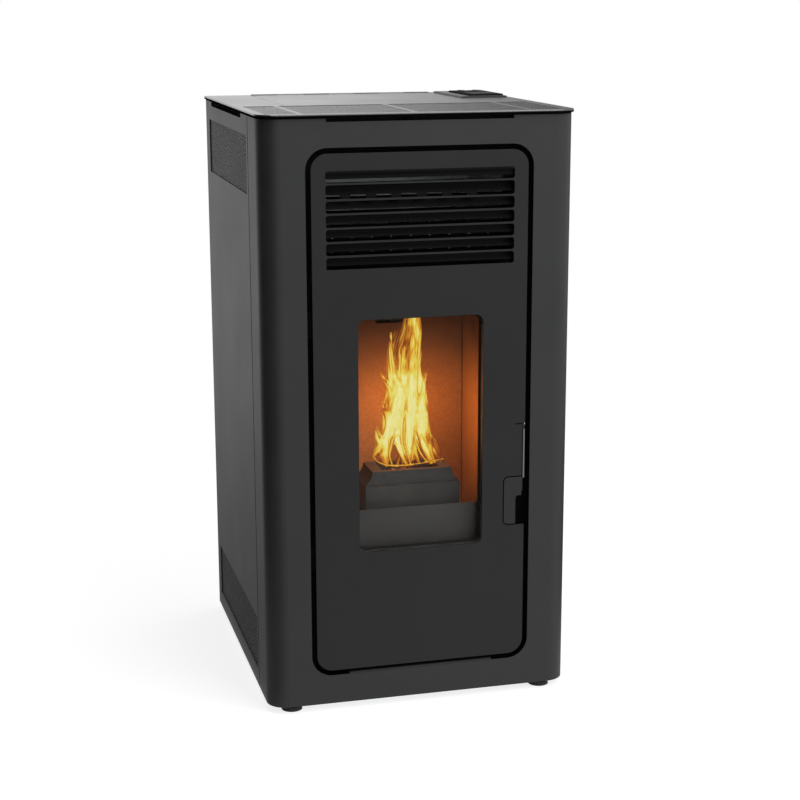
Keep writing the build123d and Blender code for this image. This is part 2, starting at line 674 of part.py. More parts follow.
def side_meshes():
    """Upper and lower punched sheets behind each side panel."""
    openings = (
        (UPPER_MESH_FRONT, UPPER_MESH_REAR, UPPER_MESH_BOTTOM, UPPER_MESH_TOP),
        (LOWER_MESH_FRONT, LOWER_MESH_REAR, LOWER_MESH_BOTTOM, LOWER_MESH_TOP),
    )
    pieces = []
    for front, rear, bottom, top in openings:
        depth = rear - front + 2 * MESH_BORDER
        height = top - bottom + 2 * MESH_BORDER
        sheet = punched(depth, height, MESH_SHEET, MESH_BORDER, MESH_PITCH, MESH_HOLE_RADIUS)
        standing = Rot(0, 0, 90) * Rot(90, 0, 0) * sheet
        sheet = Pos(-INNER, (front + rear) / 2, (bottom + top) / 2) * standing
        pieces.append(sheet)
        pieces.append(mirrored(sheet))
    return Compound(children=pieces)


def rear_panel():
    span = (REAR_PANEL_Y, REAR_PANEL_Y + SHEET)
    cut = (REAR_PANEL_Y - 1, REAR_PANEL_Y + SHEET + 1)
    panel = block((-INNER, INNER), span, (0, CASE_HEIGHT))
    panel -= rod("y", (FLUE_X, FLUE_Z), FLUE_RADIUS + PASS, cut)
    panel -= rod("y", (INTAKE_X, INTAKE_Z), INTAKE_RADIUS + PASS, cut)
    panel -= rod("y", (THERMOSTAT_X, THERMOSTAT_Z), THERMOSTAT_NECK_RADIUS + PASS, cut)
    width = SOCKET_HALF_WIDTH - SOCKET_BODY_MARGIN + PASS
    height = SOCKET_HALF_HEIGHT - SOCKET_BODY_MARGIN + PASS
    panel -= block((SOCKET_X - width, SOCKET_X + width), cut, (SOCKET_Z - height, SOCKET_Z + height))
    slot_pitch = REAR_GRILLE_SLOT + REAR_GRILLE_PITCH
    for column in range(REAR_GRILLE_COLUMNS):
        x = (column - (REAR_GRILLE_COLUMNS - 1) / 2) * slot_pitch
        for row in range(REAR_GRILLE_ROWS):
            z = REAR_GRILLE_BOTTOM + row * REAR_GRILLE_PITCH
            panel -= upright((x - REAR_GRILLE_SLOT / 2, x + REAR_GRILLE_SLOT / 2), cut,
                             (z, z + REAR_GRILLE_SLOT_HEIGHT), REAR_GRILLE_SLOT_HEIGHT * 0.49)
    for side in (-1, 1):
        for hole in rear_screw_holes(side):
            panel -= hole
    return panel


def case_screws():
    pieces = []
    for side in (-1, 1):
        x = side * (INNER - RETURN_WIDTH / 2)
        for z in rear_screw_heights():
            head = rod("y", (x, z), SCREW_HEAD_RADIUS, (CASE_DEPTH, CASE_DEPTH + SCREW_HEAD_HEIGHT))
            rim = head.edges().filter_by(GeomType.CIRCLE).sort_by(Axis.Y)[-1:]
            shank = rod("y", (x, z), SCREW_RADIUS, (REAR_PANEL_Y - 4 * SHEET, CASE_DEPTH))
            pieces.append(fillet(rim, SCREW_HEAD_HEIGHT / 3) + shank)
    return Compound(children=pieces)


def top_plate():
    overhang = TOP_SIDE_OVERHANG
    plate = block((-HALF - overhang, HALF + overhang), (-TOP_FRONT_OVERHANG, CASE_DEPTH),
                  (CASE_HEIGHT, TOP_FACE))
    corners = plate.edges().filter_by(Axis.Z).sort_by(Axis.Y)[:2]
    plate = fillet(corners, CORNER_RADIUS + overhang)
    rim = plate.faces().sort_by(Axis.Z)[-1].edges()
    plate = fillet(rim, TOP_EDGE_RADIUS)
    through = (CASE_HEIGHT - 1, TOP_FACE + 1)
    for left, right in GRILLE_SPANS:
        plate -= block((left, right), (GRILLE_FRONT, GRILLE_REAR), (GRILLE_BASE, TOP_FACE + 1))
        plate -= block((left + GRILLE_LEDGE, right - GRILLE_LEDGE),
                       (GRILLE_FRONT + GRILLE_LEDGE, GRILLE_REAR - GRILLE_LEDGE), through)
    plate -= block((LID_LEFT - LID_GAP, LID_RIGHT + LID_GAP),
                   (LID_FRONT - LID_GAP, LID_HINGE_Y + LID_BARREL_RADIUS + FIT), through)
    plate -= panel_box(PASS, through)
    return plate


def top_grilles():
    pieces = []
    for left, right in GRILLE_SPANS:
        width = right - left - 2 * FIT
        depth = GRILLE_REAR - GRILLE_FRONT - 2 * FIT
        sheet = punched(width, depth, GRILLE_SHEET, GRILLE_LEDGE, GRILLE_PITCH, GRILLE_HOLE_RADIUS)
        pieces.append(Pos((left + right) / 2, (GRILLE_FRONT + GRILLE_REAR) / 2, GRILLE_BASE) * sheet)
    return Compound(children=pieces)


# ---------------------------------------------------------------- hopper lid and its hinge

def lid_barrels():
    """Spans along x of the barrels, in turn those of the leaf and those of the lid."""
    length = (LID_RIGHT - LID_LEFT) / LID_BARREL_COUNT
    spans = []
    for index in range(LID_BARREL_COUNT):
        start = LID_LEFT + index * length
        spans.append((start + FIT / 2, start + length - FIT / 2))
    return spans[0::2], spans[1::2]


def lid_hinge_leaf():
    leaf_spans, lid_spans = lid_barrels()
    last = max(leaf_spans[-1][1], lid_spans[-1][1])
    centre = (LID_HINGE_Y, LID_BARREL_Z)
    seat = LID_HINGE_Y + LID_BARREL_RADIUS + FIT
    leaf = block((leaf_spans[0][0], last), (seat, CASE_DEPTH - 1), (TOP_FACE, TOP_FACE + SHEET / 2))
    for span in leaf_spans:
        leaf += rod("x", centre, LID_BARREL_RADIUS, span)
        leaf += block(span, (LID_HINGE_Y, seat + SHEET / 2), (TOP_FACE, TOP_FACE + SHEET / 2))
    return leaf - rod("x", centre, LID_PIN_RADIUS + RUN, (LID_LEFT - 1, LID_RIGHT + 1))


def lid_hinge_pin():
    leaf_spans, lid_spans = lid_barrels()
    last = max(leaf_spans[-1][1], lid_spans[-1][1])
    return rod("x", (LID_HINGE_Y, LID_BARREL_Z), LID_PIN_RADIUS, (leaf_spans[0][0], last))


def hopper_lid():
    leaf_spans, lid_spans = lid_barrels()
    centre = (LID_HINGE_Y, LID_BARREL_Z)
    rear = LID_HINGE_Y - LID_BARREL_RADIUS
    lid = block((LID_LEFT, LID_RIGHT), (LID_FRONT, rear - FIT), (LID_BASE, LID_FACE))
    corners = lid.edges().filter_by(Axis.Z).sort_by(Axis.Y)[:2]
    lid = fillet(corners, LID_THICKNESS)
    for span in lid_spans:
        lid += rod("x", centre, LID_BARREL_RADIUS, span)
        lid += block(span, (rear - FIT - 1, LID_HINGE_Y), (LID_BASE, LID_BARREL_Z))
    return lid - rod("x", centre, LID_PIN_RADIUS + RUN, (LID_LEFT - 1, LID_RIGHT + 1))


# ---------------------------------------------------------------- door

def louvre_slots():
    """Bottom and top of every louvre slot, from the top one down."""
    slots = []
    top = LOUVRE_TOP
    for height in LOUVRE_SLOTS:
        slots.append((top - height, top))
        top -= height + LOUVRE_BAR
    return slots


def door_skin():
    skin = upright((-DOOR_HALF, DOOR_HALF), (0, DOOR_SKIN), (DOOR_BOTTOM, DOOR_TOP),
                   OPENING_RADIUS - DOOR_GAP)
    cut = (-1, DOOR_SKIN + 1)
    for bottom, top in louvre_slots():
        skin -= upright((-LOUVRE_HALF, LOUVRE_HALF), cut, (bottom, top), LOUVRE_SLOT_RADIUS)
    skin -= upright((-WINDOW_HALF, WINDOW_HALF), cut, (WINDOW_BOTTOM, WINDOW_TOP), WINDOW_RADIUS)
    skin -= upright((FLAP_LEFT - FLAP_GAP, DOOR_HALF + 2 * FLAP_RADIUS), cut,
                    (FLAP_BOTTOM - FLAP_GAP, FLAP_TOP + FLAP_GAP), FLAP_RADIUS)
    skin -= block((LEVER_SLOT_LEFT, DOOR_HALF + 1), cut, (FLAP_TOP, LEVER_SLOT_TOP))
    skin -= block((LEVER_SLOT_LEFT - PIVOT_BLOCK_WIDTH, DOOR_HALF), cut,
                  (LEVER_SLOT_TOP - FLAP_GAP, LEVER_SLOT_TOP))
    return skin


def louvre_blades():
    """Folded insert behind the slots, with a sloping blade behind each one."""
    slots = louvre_slots()
    outer = LOUVRE_HALF + 4 * LOUVRE_SHEET
    top = LOUVRE_TOP - FIT
    bottom = slots[-1][0] - LOUVRE_BAR
    back = DOOR_SKIN + LOUVRE_DEPTH
    cheek = block((LOUVRE_HALF + 2 * LOUVRE_SHEET, outer), (DOOR_SKIN, back), (bottom, top))
    insert = cheek + mirrored(cheek)
    roof = block((-outer, outer), (DOOR_SKIN, back), (top - LOUVRE_LIP, top))
    lip = upright((-LOUVRE_HALF + FIT, LOUVRE_HALF - FIT), (-2 * FIT, DOOR_SKIN),
                  (slots[0][0] + FIT, top), LOUVRE_SLOT_RADIUS)
    lip &= block((-outer, outer), (-1, back), (top - LOUVRE_LIP, top))
    insert += roof
    insert += lip
    face_bottom = slots[0][0] + LOUVRE_BLADE_GAP
    insert += block((-outer, outer), (LOUVRE_BLADE_FRONT, LOUVRE_BLADE_FRONT + LOUVRE_SHEET),
                    (face_bottom, top))
    for index, (slot_bottom, slot_top) in enumerate(slots[1:]):
        low = slot_bottom + LOUVRE_BLADE_GAP
        points = [
            (LOUVRE_BLADE_FRONT, low),
            (LOUVRE_BLADE_FRONT + LOUVRE_SHEET, low),
            (LOUVRE_BLADE_BACK, low + LOUVRE_BLADE_RISE),
            (LOUVRE_BLADE_BACK, low + LOUVRE_BLADE_RISE + LOUVRE_SHEET),
        ]
        insert += profile(points, (-outer, outer))
        if index == 0:
            insert += comb_teeth(low)
    return insert


def comb_teeth(top):
    """Tabs below the second blade, with open notches between them."""
    tabs = []
    width = LOUVRE_COMB_PITCH - LOUVRE_COMB_NOTCH
    first = -LOUVRE_HALF + LOUVRE_COMB_NOTCH
    for index in range(LOUVRE_COMB_COUNT - 1):
        left = first + index * LOUVRE_COMB_PITCH
        tabs.append(block((left, left + width), (LOUVRE_BLADE_FRONT, LOUVRE_BLADE_FRONT + LOUVRE_SHEET),
                          (top - LOUVRE_BLADE_GAP, top)))
    return tabs


def frame_ring(inset_outer, inset_inner, y):
    """Ring that follows the outline of the cast door frame."""
    outer = upright((-FRAME_HALF + inset_outer, FRAME_HALF - inset_outer), y,
                    (FRAME_BOTTOM + inset_outer, FRAME_TOP - inset_outer),
                    FRAME_RADIUS - inset_outer)
    inner = upright((-FRAME_HALF + inset_inner, FRAME_HALF - inset_inner), (y[0] - 1, y[1] + 1),
                    (FRAME_BOTTOM + inset_inner, FRAME_TOP - inset_inner),
                    max(FRAME_RADIUS - inset_inner, 2))
    return outer - inner


def clip_places():
    """Centres of the glass clips as (side, x, z)."""
    x = WINDOW_HALF + GLASS_LAP + BOSS_RADIUS + 1
    step = (WINDOW_TOP - WINDOW_BOTTOM) / CLIP_ROWS
    heights = [WINDOW_BOTTOM + step * (row + 0.5) for row in range(CLIP_ROWS)]
    return [(side, side * x, z) for side in (-1, 1) for z in heights]


def door_frame():
    frame = upright((-FRAME_HALF, FRAME_HALF), (DOOR_SKIN, FRAME_FACE), (FRAME_BOTTOM, FRAME_TOP),
                    FRAME_RADIUS)
    frame -= upright((-WINDOW_HALF, WINDOW_HALF), (DOOR_SKIN - 1, FRAME_FACE + 1),
                     (WINDOW_BOTTOM, WINDOW_TOP), WINDOW_RADIUS)
    frame += frame_ring(0, FRAME_RIM, (FRAME_FACE, FRAME_BACK))
    groove = (FRAME_RIM - ROPE_WIDTH) / 2
    frame -= frame_ring(groove, FRAME_RIM - groove, (ROPE_FRONT, FRAME_BACK + 1))
    for side, x, z in clip_places():
        frame += rod("y", (x, z), BOSS_RADIUS, (FRAME_FACE, GLASS_BACK))
    for height in HINGE_HEIGHTS:
        span = (height + FIT, height + FIT + HINGE_KNUCKLE)
        frame += rod("z", (HINGE_X, HINGE_Y), HINGE_RADIUS, span)
        frame += block((HINGE_X, -FRAME_HALF + 1), (HINGE_Y - HINGE_LEAF / 2, HINGE_Y + HINGE_LEAF), span)
        frame -= rod("z", (HINGE_X, HINGE_Y), HINGE_PIN_RADIUS + RUN, (span[0] - 1, span[1] + 1))
    return frame


def door_rope_seal():
    groove = (FRAME_RIM - ROPE_WIDTH) / 2
    rope = frame_ring(groove, FRAME_RIM - groove, (ROPE_FRONT, ROPE_BACK))
    crown = rope.faces().sort_by(Axis.Y)[-1].edges()
    return fillet(crown, ROPE_WIDTH / 4)


def door_glass():
    lap = GLASS_LAP
    return upright((-WINDOW_HALF - lap, WINDOW_HALF + lap), (GLASS_FRONT, GLASS_BACK),
                   (WINDOW_BOTTOM - lap, WINDOW_TOP + lap), WINDOW_RADIUS)


def glass_gasket():
    lap = GLASS_LAP
    reach = GLASS_GASKET_REACH
    outside = upright((-WINDOW_HALF - lap, WINDOW_HALF + lap), (FRAME_FACE, GLASS_FRONT),
                      (WINDOW_BOTTOM - lap, WINDOW_TOP + lap), WINDOW_RADIUS)
    inside = upright((-WINDOW_HALF + reach, WINDOW_HALF - reach), (FRAME_FACE - 1, GLASS_FRONT + 1),
                     (WINDOW_BOTTOM + reach, WINDOW_TOP - reach), WINDOW_RADIUS - reach)
    return outside - inside


def glass_clips():
    pieces = []
    for side, x, z in clip_places():
        edge = side * (WINDOW_HALF + GLASS_LAP - CLIP_REACH)
        outer = side * (FRAME_HALF - FRAME_RIM - FIT)
        limits = (min(edge, outer), max(edge, outer))
        clip = block(limits, (GLASS_BACK, GLASS_BACK + CLIP_THICKNESS),
                     (z - CLIP_HALF_HEIGHT, z + CLIP_HALF_HEIGHT))
        head = (GLASS_BACK + CLIP_THICKNESS, GLASS_BACK + CLIP_THICKNESS + SCREW_HEAD_HEIGHT)
        pieces.append(clip + rod("y", (x, z), SCREW_HEAD_RADIUS, head))
    return Compound(children=pieces)


def hinge_brackets():
    pieces = []
    for height in HINGE_HEIGHTS:
        span = (height - HINGE_KNUCKLE, height)
        bracket = rod("z", (HINGE_X, HINGE_Y), HINGE_RADIUS, span)
        left = HINGE_X - HINGE_LEAF
        bracket += block((left, HINGE_X), (HINGE_Y, BULKHEAD_Y), span)
        bracket += block((left - HINGE_FOOT_WIDTH, HINGE_X),
                         (BULKHEAD_Y - HINGE_LEAF, BULKHEAD_Y),
                         (height - 2 * HINGE_KNUCKLE, height + HINGE_KNUCKLE))
        for z in (height - 1.5 * HINGE_KNUCKLE, height + HINGE_KNUCKLE / 2):
            bracket += rod("y", (left - HINGE_FOOT_WIDTH / 2, z), SCREW_HEAD_RADIUS,
                           (BULKHEAD_Y - HINGE_LEAF - SCREW_HEAD_HEIGHT, BULKHEAD_Y - HINGE_LEAF))
        bracket -= rod("z", (HINGE_X, HINGE_Y), HINGE_PIN_RADIUS + RUN, (span[0] - 1, span[1] + 1))
        pieces.append(bracket)
    return Compound(children=pieces)


def hinge_pins():
    pieces = []
    for height in HINGE_HEIGHTS:
        bottom = height - HINGE_KNUCKLE
        shank = rod("z", (HINGE_X, HINGE_Y), HINGE_PIN_RADIUS, (bottom, height + HINGE_KNUCKLE))
        head = rod("z", (HINGE_X, HINGE_Y), HINGE_RADIUS - 1, (bottom - HINGE_LEAF / 2, bottom))
        pieces.append(shank + head)
    return Compound(children=pieces)


# ---------------------------------------------------------------- door handle and latch

def handle_lever():
    """Flat lever that hangs from the pivot, with the finger flap at its foot and the hook behind."""
    x = (LEVER_LEFT, LEVER_LEFT + LEVER_THICKNESS)
    centre = (PIVOT_Y, PIVOT_Z)
    hook_top = PIVOT_Z - KEEPER_RADIUS
    lever = rod("x", centre, PIVOT_EYE_RADIUS, x)
    lever += block(x, (LEVER_FRONT, LEVER_FRONT + LEVER_DEPTH), (FLAP_TOP - FLAP_GAP, LEVER_TOP))
    lever += block(x, (PIVOT_Y - PIVOT_EYE_RADIUS, PIVOT_Y + PIVOT_EYE_RADIUS), (LEVER_TOP, PIVOT_Z))
    bend_bottom = NOTCH_TOP + FLAP_RADIUS / 2
    lever += block(x, (LEVER_FRONT + LEVER_STEP, LEVER_FRONT + LEVER_DEPTH), (bend_bottom, FLAP_TOP))
    lever += block(x, (PIVOT_Y, HOOK_DEPTH), (hook_top - HOOK_HEIGHT, hook_top))
    lever += block(x, (HOOK_DEPTH - HOOK_TOOTH, HOOK_DEPTH), (hook_top, hook_top + HOOK_TOOTH))
    right = FLAP_LEFT + FLAP_WIDTH
    flap = upright((FLAP_LEFT, right), (0, DOOR_SKIN), (FLAP_BOTTOM, FLAP_TOP), FLAP_RADIUS - FLAP_GAP)
    flap += block((right - FLAP_RADIUS, right), (0, DOOR_SKIN), (FLAP_TOP - FLAP_RADIUS, FLAP_TOP))
    flap -= upright((right - NOTCH_WIDTH, right + NOTCH_WIDTH), (-1, DOOR_SKIN + 1),
                    (FLAP_BOTTOM - NOTCH_WIDTH, NOTCH_TOP), FLAP_RADIUS / 2)
    flap += block((right - DOOR_SKIN, right), (0, LEVER_FRONT + LEVER_STEP + DOOR_SKIN),
                  (bend_bottom, FLAP_TOP))
    flap += block((right - DOOR_SKIN, x[0]), (LEVER_FRONT + LEVER_STEP, LEVER_FRONT + LEVER_STEP + DOOR_SKIN),
                  (bend_bottom, FLAP_TOP))
    lever += flap
    return lever - rod("x", centre, PIVOT_RADIUS + RUN, (x[0] - 1, x[1] + 1))


def handle_pivot():
    """Block behind the door skin with the pin that carries the lever."""
    right = LEVER_LEFT - FIT
    y = (DOOR_SKIN, DOOR_SKIN + PIVOT_BLOCK_DEPTH)
    z = (PIVOT_Z - PIVOT_BLOCK_HEIGHT / 2, PIVOT_Z + PIVOT_BLOCK_HEIGHT / 2)
    carrier = block((right - PIVOT_BLOCK_WIDTH, right), y, z)
    centre = (PIVOT_Y, PIVOT_Z)
    head_start = LEVER_LEFT + LEVER_THICKNESS + FIT
    pin = rod("x", centre, PIVOT_RADIUS, (right, head_start))
    head = rod("x", centre, PIVOT_HEAD_RADIUS, (head_start, head_start + 2))
    rim = head.edges().filter_by(GeomType.CIRCLE).sort_by(Axis.X)[-1:]
    return carrier + pin + fillet(rim, 1)


def latch_keeper():
    """Cross bar on the bulkhead that the hook reaches under."""
    ear_left = LEVER_LEFT + LEVER_THICKNESS + KEEPER_GAP
    ear = (ear_left, ear_left + KEEPER_PLATE)
    bar_z = PIVOT_Z + HOOK_TOOTH + PASS
    left = LEVER_LEFT - 2 * KEEPER_RADIUS
    keeper = block((left, ear[1]), (BULKHEAD_Y - KEEPER_PLATE, BULKHEAD_Y),
                   (bar_z - 4 * KEEPER_RADIUS, bar_z + 4 * KEEPER_RADIUS))
    keeper += block(ear, (KEEPER_Y - 2 * KEEPER_RADIUS, BULKHEAD_Y),
                    (bar_z - 2 * KEEPER_RADIUS, bar_z + 2 * KEEPER_RADIUS))
    return keeper + rod("x", (KEEPER_Y, bar_z), KEEPER_RADIUS, (left, ear[0]))


# ---------------------------------------------------------------- bulkhead and firebox

def bulkhead():
    y = (BULKHEAD_Y, BULKHEAD_BACK)
    cut = (BULKHEAD_Y - 1, BULKHEAD_BACK + 1)
    plate = block((-INNER, INNER), y, (TRAY_LIP, CASE_HEIGHT))
    plate += block((-INNER + 2 * SHEET, INNER - 2 * SHEET), y, (SHEET, TRAY_LIP))
    plate -= block((-FIRE_HALF, FIRE_HALF), cut, (FIRE_BOTTOM, FIRE_TOP))
    plate -= block((-ASH_HALF, ASH_HALF), cut, (ASH_BOTTOM, ASH_TOP))
    plate -= block((-AIR_HALF, AIR_HALF), cut, (AIR_BOTTOM, AIR_TOP))
    return plate


def chute_line(y):
    """Height of the underside of the pellet chute at a depth."""
    chute_top = AUGER_Z - AUGER_TUBE_RADIUS + AUGER_TUBE_WALL
    return chute_top - (CHUTE_MOUTH + CHUTE_LENGTH - y)


def chute_hole(y):
    """Passage for the chute through a wall between two depths."""
    half = CHUTE_HALF + CHUTE_SHEET + PASS
    bottom = chute_line(y[0]) - PASS
    top = chute_line(y[1]) + CHUTE_MOUTH_HEIGHT + PASS
    return block((-half, half), (y[0] - 1, y[1] + 1), (bottom, top))


def firebox_shell():
    wall = FIREBOX_WALL
    shell = block((-FIREBOX_HALF, FIREBOX_HALF), (BULKHEAD_BACK, FIREBOX_REAR),
                  (FIREBOX_BOTTOM, FIREBOX_TOP))
    shell -= block((-FIREBOX_HALF + wall, FIREBOX_HALF - wall), (BULKHEAD_BACK - 1, FIREBOX_REAR - wall),
                   (FIREBOX_BOTTOM + wall, FIREBOX_TOP - wall))
    ash_base = ASH_BOTTOM - wall
    chamber = block((-ASH_CHAMBER_HALF, ASH_CHAMBER_HALF), (BULKHEAD_BACK, FIREBOX_REAR),
                    (ash_base, FIREBOX_BOTTOM))
    chamber -= block((-ASH_CHAMBER_HALF + wall, ASH_CHAMBER_HALF - wall),
                     (BULKHEAD_BACK - 1, FIREBOX_REAR - wall), (ASH_BOTTOM, FIREBOX_BOTTOM + 1))
    shell += chamber
    for side in (-1, 1):
        x = sorted((side * ASH_SLOT_INNER, side * ASH_SLOT_OUTER))
        shell -= block(x, (HOLDER_FRONT, BRICK_FACE_Y), (FIREBOX_BOTTOM - 1, FIREBOX_BOTTOM + wall + 1))
    rear = (FIREBOX_REAR - wall, FIREBOX_REAR)
    through = (rear[0] - 1, rear[1] + 1)
    shell -= chute_hole(rear)
    shell -= rod("y", (0, IGNITER_Z), IGNITER_RADIUS + PASS, through)
    shell -= rod("y", (INTAKE_X, INTAKE_Z), INTAKE_RADIUS - INTAKE_WALL, through)
    shell -= block((SMOKE_LEFT + 5 * SMOKE_SHEET, SMOKE_RIGHT - 5 * SMOKE_SHEET), through,
                   (SMOKE_BOTTOM + 5 * SMOKE_SHEET, SMOKE_TOP - 5 * SMOKE_SHEET))
    return shell


def side_firebricks():
    outer = FIREBOX_HALF - FIREBOX_WALL
    brick = block((outer - BRICK, outer), (BULKHEAD_BACK, FIREBOX_REAR - FIREBOX_WALL),
                  (FIREBOX_BOTTOM + FIREBOX_WALL, BRICK_TOP))
    return Compound(children=[mirrored(brick), brick])


def back_firebrick():
    half = FIREBOX_HALF - FIREBOX_WALL - BRICK
    y = (BRICK_FACE_Y, FIREBOX_REAR - FIREBOX_WALL)
    brick = block((-half, half), y, (FIREBOX_BOTTOM + FIREBOX_WALL, BRICK_TOP))
    brick -= chute_hole(y)
    return brick - rod("y", (0, IGNITER_Z), IGNITER_RADIUS + PASS, (y[0] - 1, y[1] + 1))


def flame_baffle():
    half = FIREBOX_HALF - FIREBOX_WALL - FIT
    plate = block((-half, half), (BAFFLE_FRONT, BRICK_FACE_Y), (BRICK_TOP, BRICK_TOP + BAFFLE))
    half_chute = CHUTE_HALF + CHUTE_SHEET + PASS
    return plate - block((-half_chute, half_chute), (BRICK_FACE_Y - BRICK, BRICK_FACE_Y + 1),
                         (BRICK_TOP - 1, BRICK_TOP + BAFFLE + 1))


def holder_aperture():
    """Limits of the burn pot's cup, which drops through the holder."""
    x = (-POT_HOLE_HALF - POT_WALL, POT_HOLE_HALF + POT_WALL)
    y = (POT_HOLE_FRONT - POT_WALL, POT_HOLE_REAR + POT_WALL)
    return x, y


def burn_pot_holder():
    floor = FIREBOX_BOTTOM + FIREBOX_WALL
    sheet = HOLDER_SHEET
    body = block((-HOLDER_HALF, HOLDER_HALF), (HOLDER_FRONT, HOLDER_REAR), (floor, HOLDER_TOP))
    body -= block((-HOLDER_HALF + sheet, HOLDER_HALF - sheet), (HOLDER_FRONT + sheet, HOLDER_REAR - sheet),
                  (floor - 1, HOLDER_TOP - sheet))
    x, y = holder_aperture()
    body -= block((x[0] - FIT, x[1] + FIT), (y[0] - FIT, y[1] + FIT), (floor, HOLDER_TOP + 1))
    return body - rod("y", (0, IGNITER_Z), IGNITER_RADIUS + PASS, (HOLDER_REAR - 2 * sheet, HOLDER_REAR + 1))


def burn_pot():
    """Cast deflector with a flare at both sides, and the cup of the pot hanging in the holder."""
    sections = []
    middle_y = (POT_RIM_FRONT + POT_RIM_REAR) / 2
    length = POT_RIM_REAR - POT_RIM_FRONT
    for rise, flare in POT_STEPS:
        z = HOLDER_TOP + rise * (POT_RIM_TOP - HOLDER_TOP)
        width = 2 * (POT_RIM_HALF + flare * (HOLDER_HALF - POT_RIM_HALF))
        sections.append(Pos(0, middle_y, z) * Rectangle(width, length))
    pot = loft(sections, ruled=True)
    x, y = holder_aperture()
    floor = POT_RIM_TOP - POT_DEPTH
    pot += block(x, y, (floor, HOLDER_TOP))
    pot -= block((-POT_HOLE_HALF, POT_HOLE_HALF), (POT_HOLE_FRONT, POT_HOLE_REAR),
                 (floor + POT_WALL, POT_RIM_TOP + 1))
    grid = GridLocations(POT_GRATE_PITCH, POT_GRATE_PITCH, POT_GRATE_COLUMNS, POT_GRATE_ROWS)
    for place in grid:
        centre = (place.position.X, (y[0] + y[1]) / 2 + place.position.Y)
        pot -= rod("z", centre, POT_GRATE_RADIUS, (floor - 1, floor + POT_WALL + 1))
    return pot


def ash_guard():
    """Plate behind the foot of the window, folded back at both ends to the bulkhead."""
    z = (GUARD_BOTTOM, GUARD_TOP)
    outer = block((-GUARD_HALF, GUARD_HALF), (GUARD_FRONT, BULKHEAD_Y), z)
    outer = fillet(outer.edges().filter_by(Axis.Z).sort_by(Axis.Y)[:2], GUARD_BEND)
    inner = block((-GUARD_HALF + GUARD_SHEET, GUARD_HALF - GUARD_SHEET),
                  (GUARD_FRONT + GUARD_SHEET, BULKHEAD_Y + 1), (z[0] - 1, z[1] + 1))
    inner = fillet(inner.edges().filter_by(Axis.Z).sort_by(Axis.Y)[:2], GUARD_BEND - GUARD_SHEET)
    return outer - inner


def ash_pan():
    half = ASH_HALF - PAN_GAP
    rear = FIREBOX_REAR - FIREBOX_WALL - PAN_GAP
    top = ASH_BOTTOM + PAN_HEIGHT
    pan = block((-half, half), (BULKHEAD_Y, rear), (ASH_BOTTOM, top))
    pan -= block((-half + PAN_SHEET, half - PAN_SHEET), (BULKHEAD_Y, rear - PAN_SHEET),
                 (ASH_BOTTOM + PAN_SHEET, top + 1))
    lap = PAN_FRONT_LAP
    front = BULKHEAD_Y - 2 * PAN_SHEET
    pan += block((-ASH_HALF - lap, ASH_HALF + lap), (front, BULKHEAD_Y),
                 (ASH_BOTTOM - lap, ASH_TOP + PAN_SHEET))
    grip_z = (ASH_BOTTOM + ASH_TOP) / 2
    bar = 2 * PAN_SHEET
    reach = front - PAN_HANDLE_REACH
    pan += rod("x", (reach, grip_z), bar, (-PAN_HANDLE_HALF, PAN_HANDLE_HALF))
    for side in (-1, 1):
        x = side * (PAN_HANDLE_HALF - bar)
        pan += rod("y", (x, grip_z), bar, (reach, front))
    return pan


def igniter():
    stem = rod("y", (0, IGNITER_Z), IGNITER_RADIUS, (IGNITER_TIP, IGNITER_END))
    flange = (FIREBOX_REAR, FIREBOX_REAR + IGNITER_RADIUS)
    return stem + rod("y", (0, IGNITER_Z), IGNITER_FLANGE_RADIUS, flange)


# ---------------------------------------------------------------- pellet feed

def auger_tube():
    centre = (0, AUGER_Z)
    body = tube("y", centre, AUGER_TUBE_RADIUS, AUGER_TUBE_WALL, (AUGER_TUBE_FRONT, AUGER_TUBE_REAR))
    wall = AUGER_TUBE_WALL
    body += rod("y", centre, AUGER_TUBE_RADIUS - wall / 2, (AUGER_TUBE_FRONT, AUGER_TUBE_FRONT + 2 * wall))
    body += rod("y", centre, AUGER_TUBE_RADIUS - wall / 2, (AUGER_TUBE_REAR - wall, AUGER_TUBE_REAR))
    body -= rod("y", centre, AUGER_NOSE_RADIUS + RUN, (AUGER_TUBE_FRONT - 1, AUGER_TUBE_FRONT + 3 * wall))
    body -= rod("y", centre, AUGER_SHAFT_RADIUS + PASS, (AUGER_TUBE_REAR - 2 * wall, AUGER_TUBE_REAR + 1))
    mouth = (AUGER_Z, AUGER_Z + AUGER_TUBE_RADIUS + 1)
    body -= block((-INLET_HALF, INLET_HALF), (INLET_FRONT, INLET_REAR), mouth)
    return body + pellet_chute() - chute_throat()


def chute_throat():
    """Drop hole between the tube and the chute."""
    front = AUGER_TUBE_FRONT + 3 * AUGER_TUBE_WALL
    rear = CHUTE_MOUTH + CHUTE_LENGTH - 3 * CHUTE_SHEET
    bottom = AUGER_Z - AUGER_TUBE_RADIUS - 1
    return block((-INLET_HALF + 3, INLET_HALF - 3), (front, rear), (bottom, AUGER_Z - AUGER_SHAFT_RADIUS))


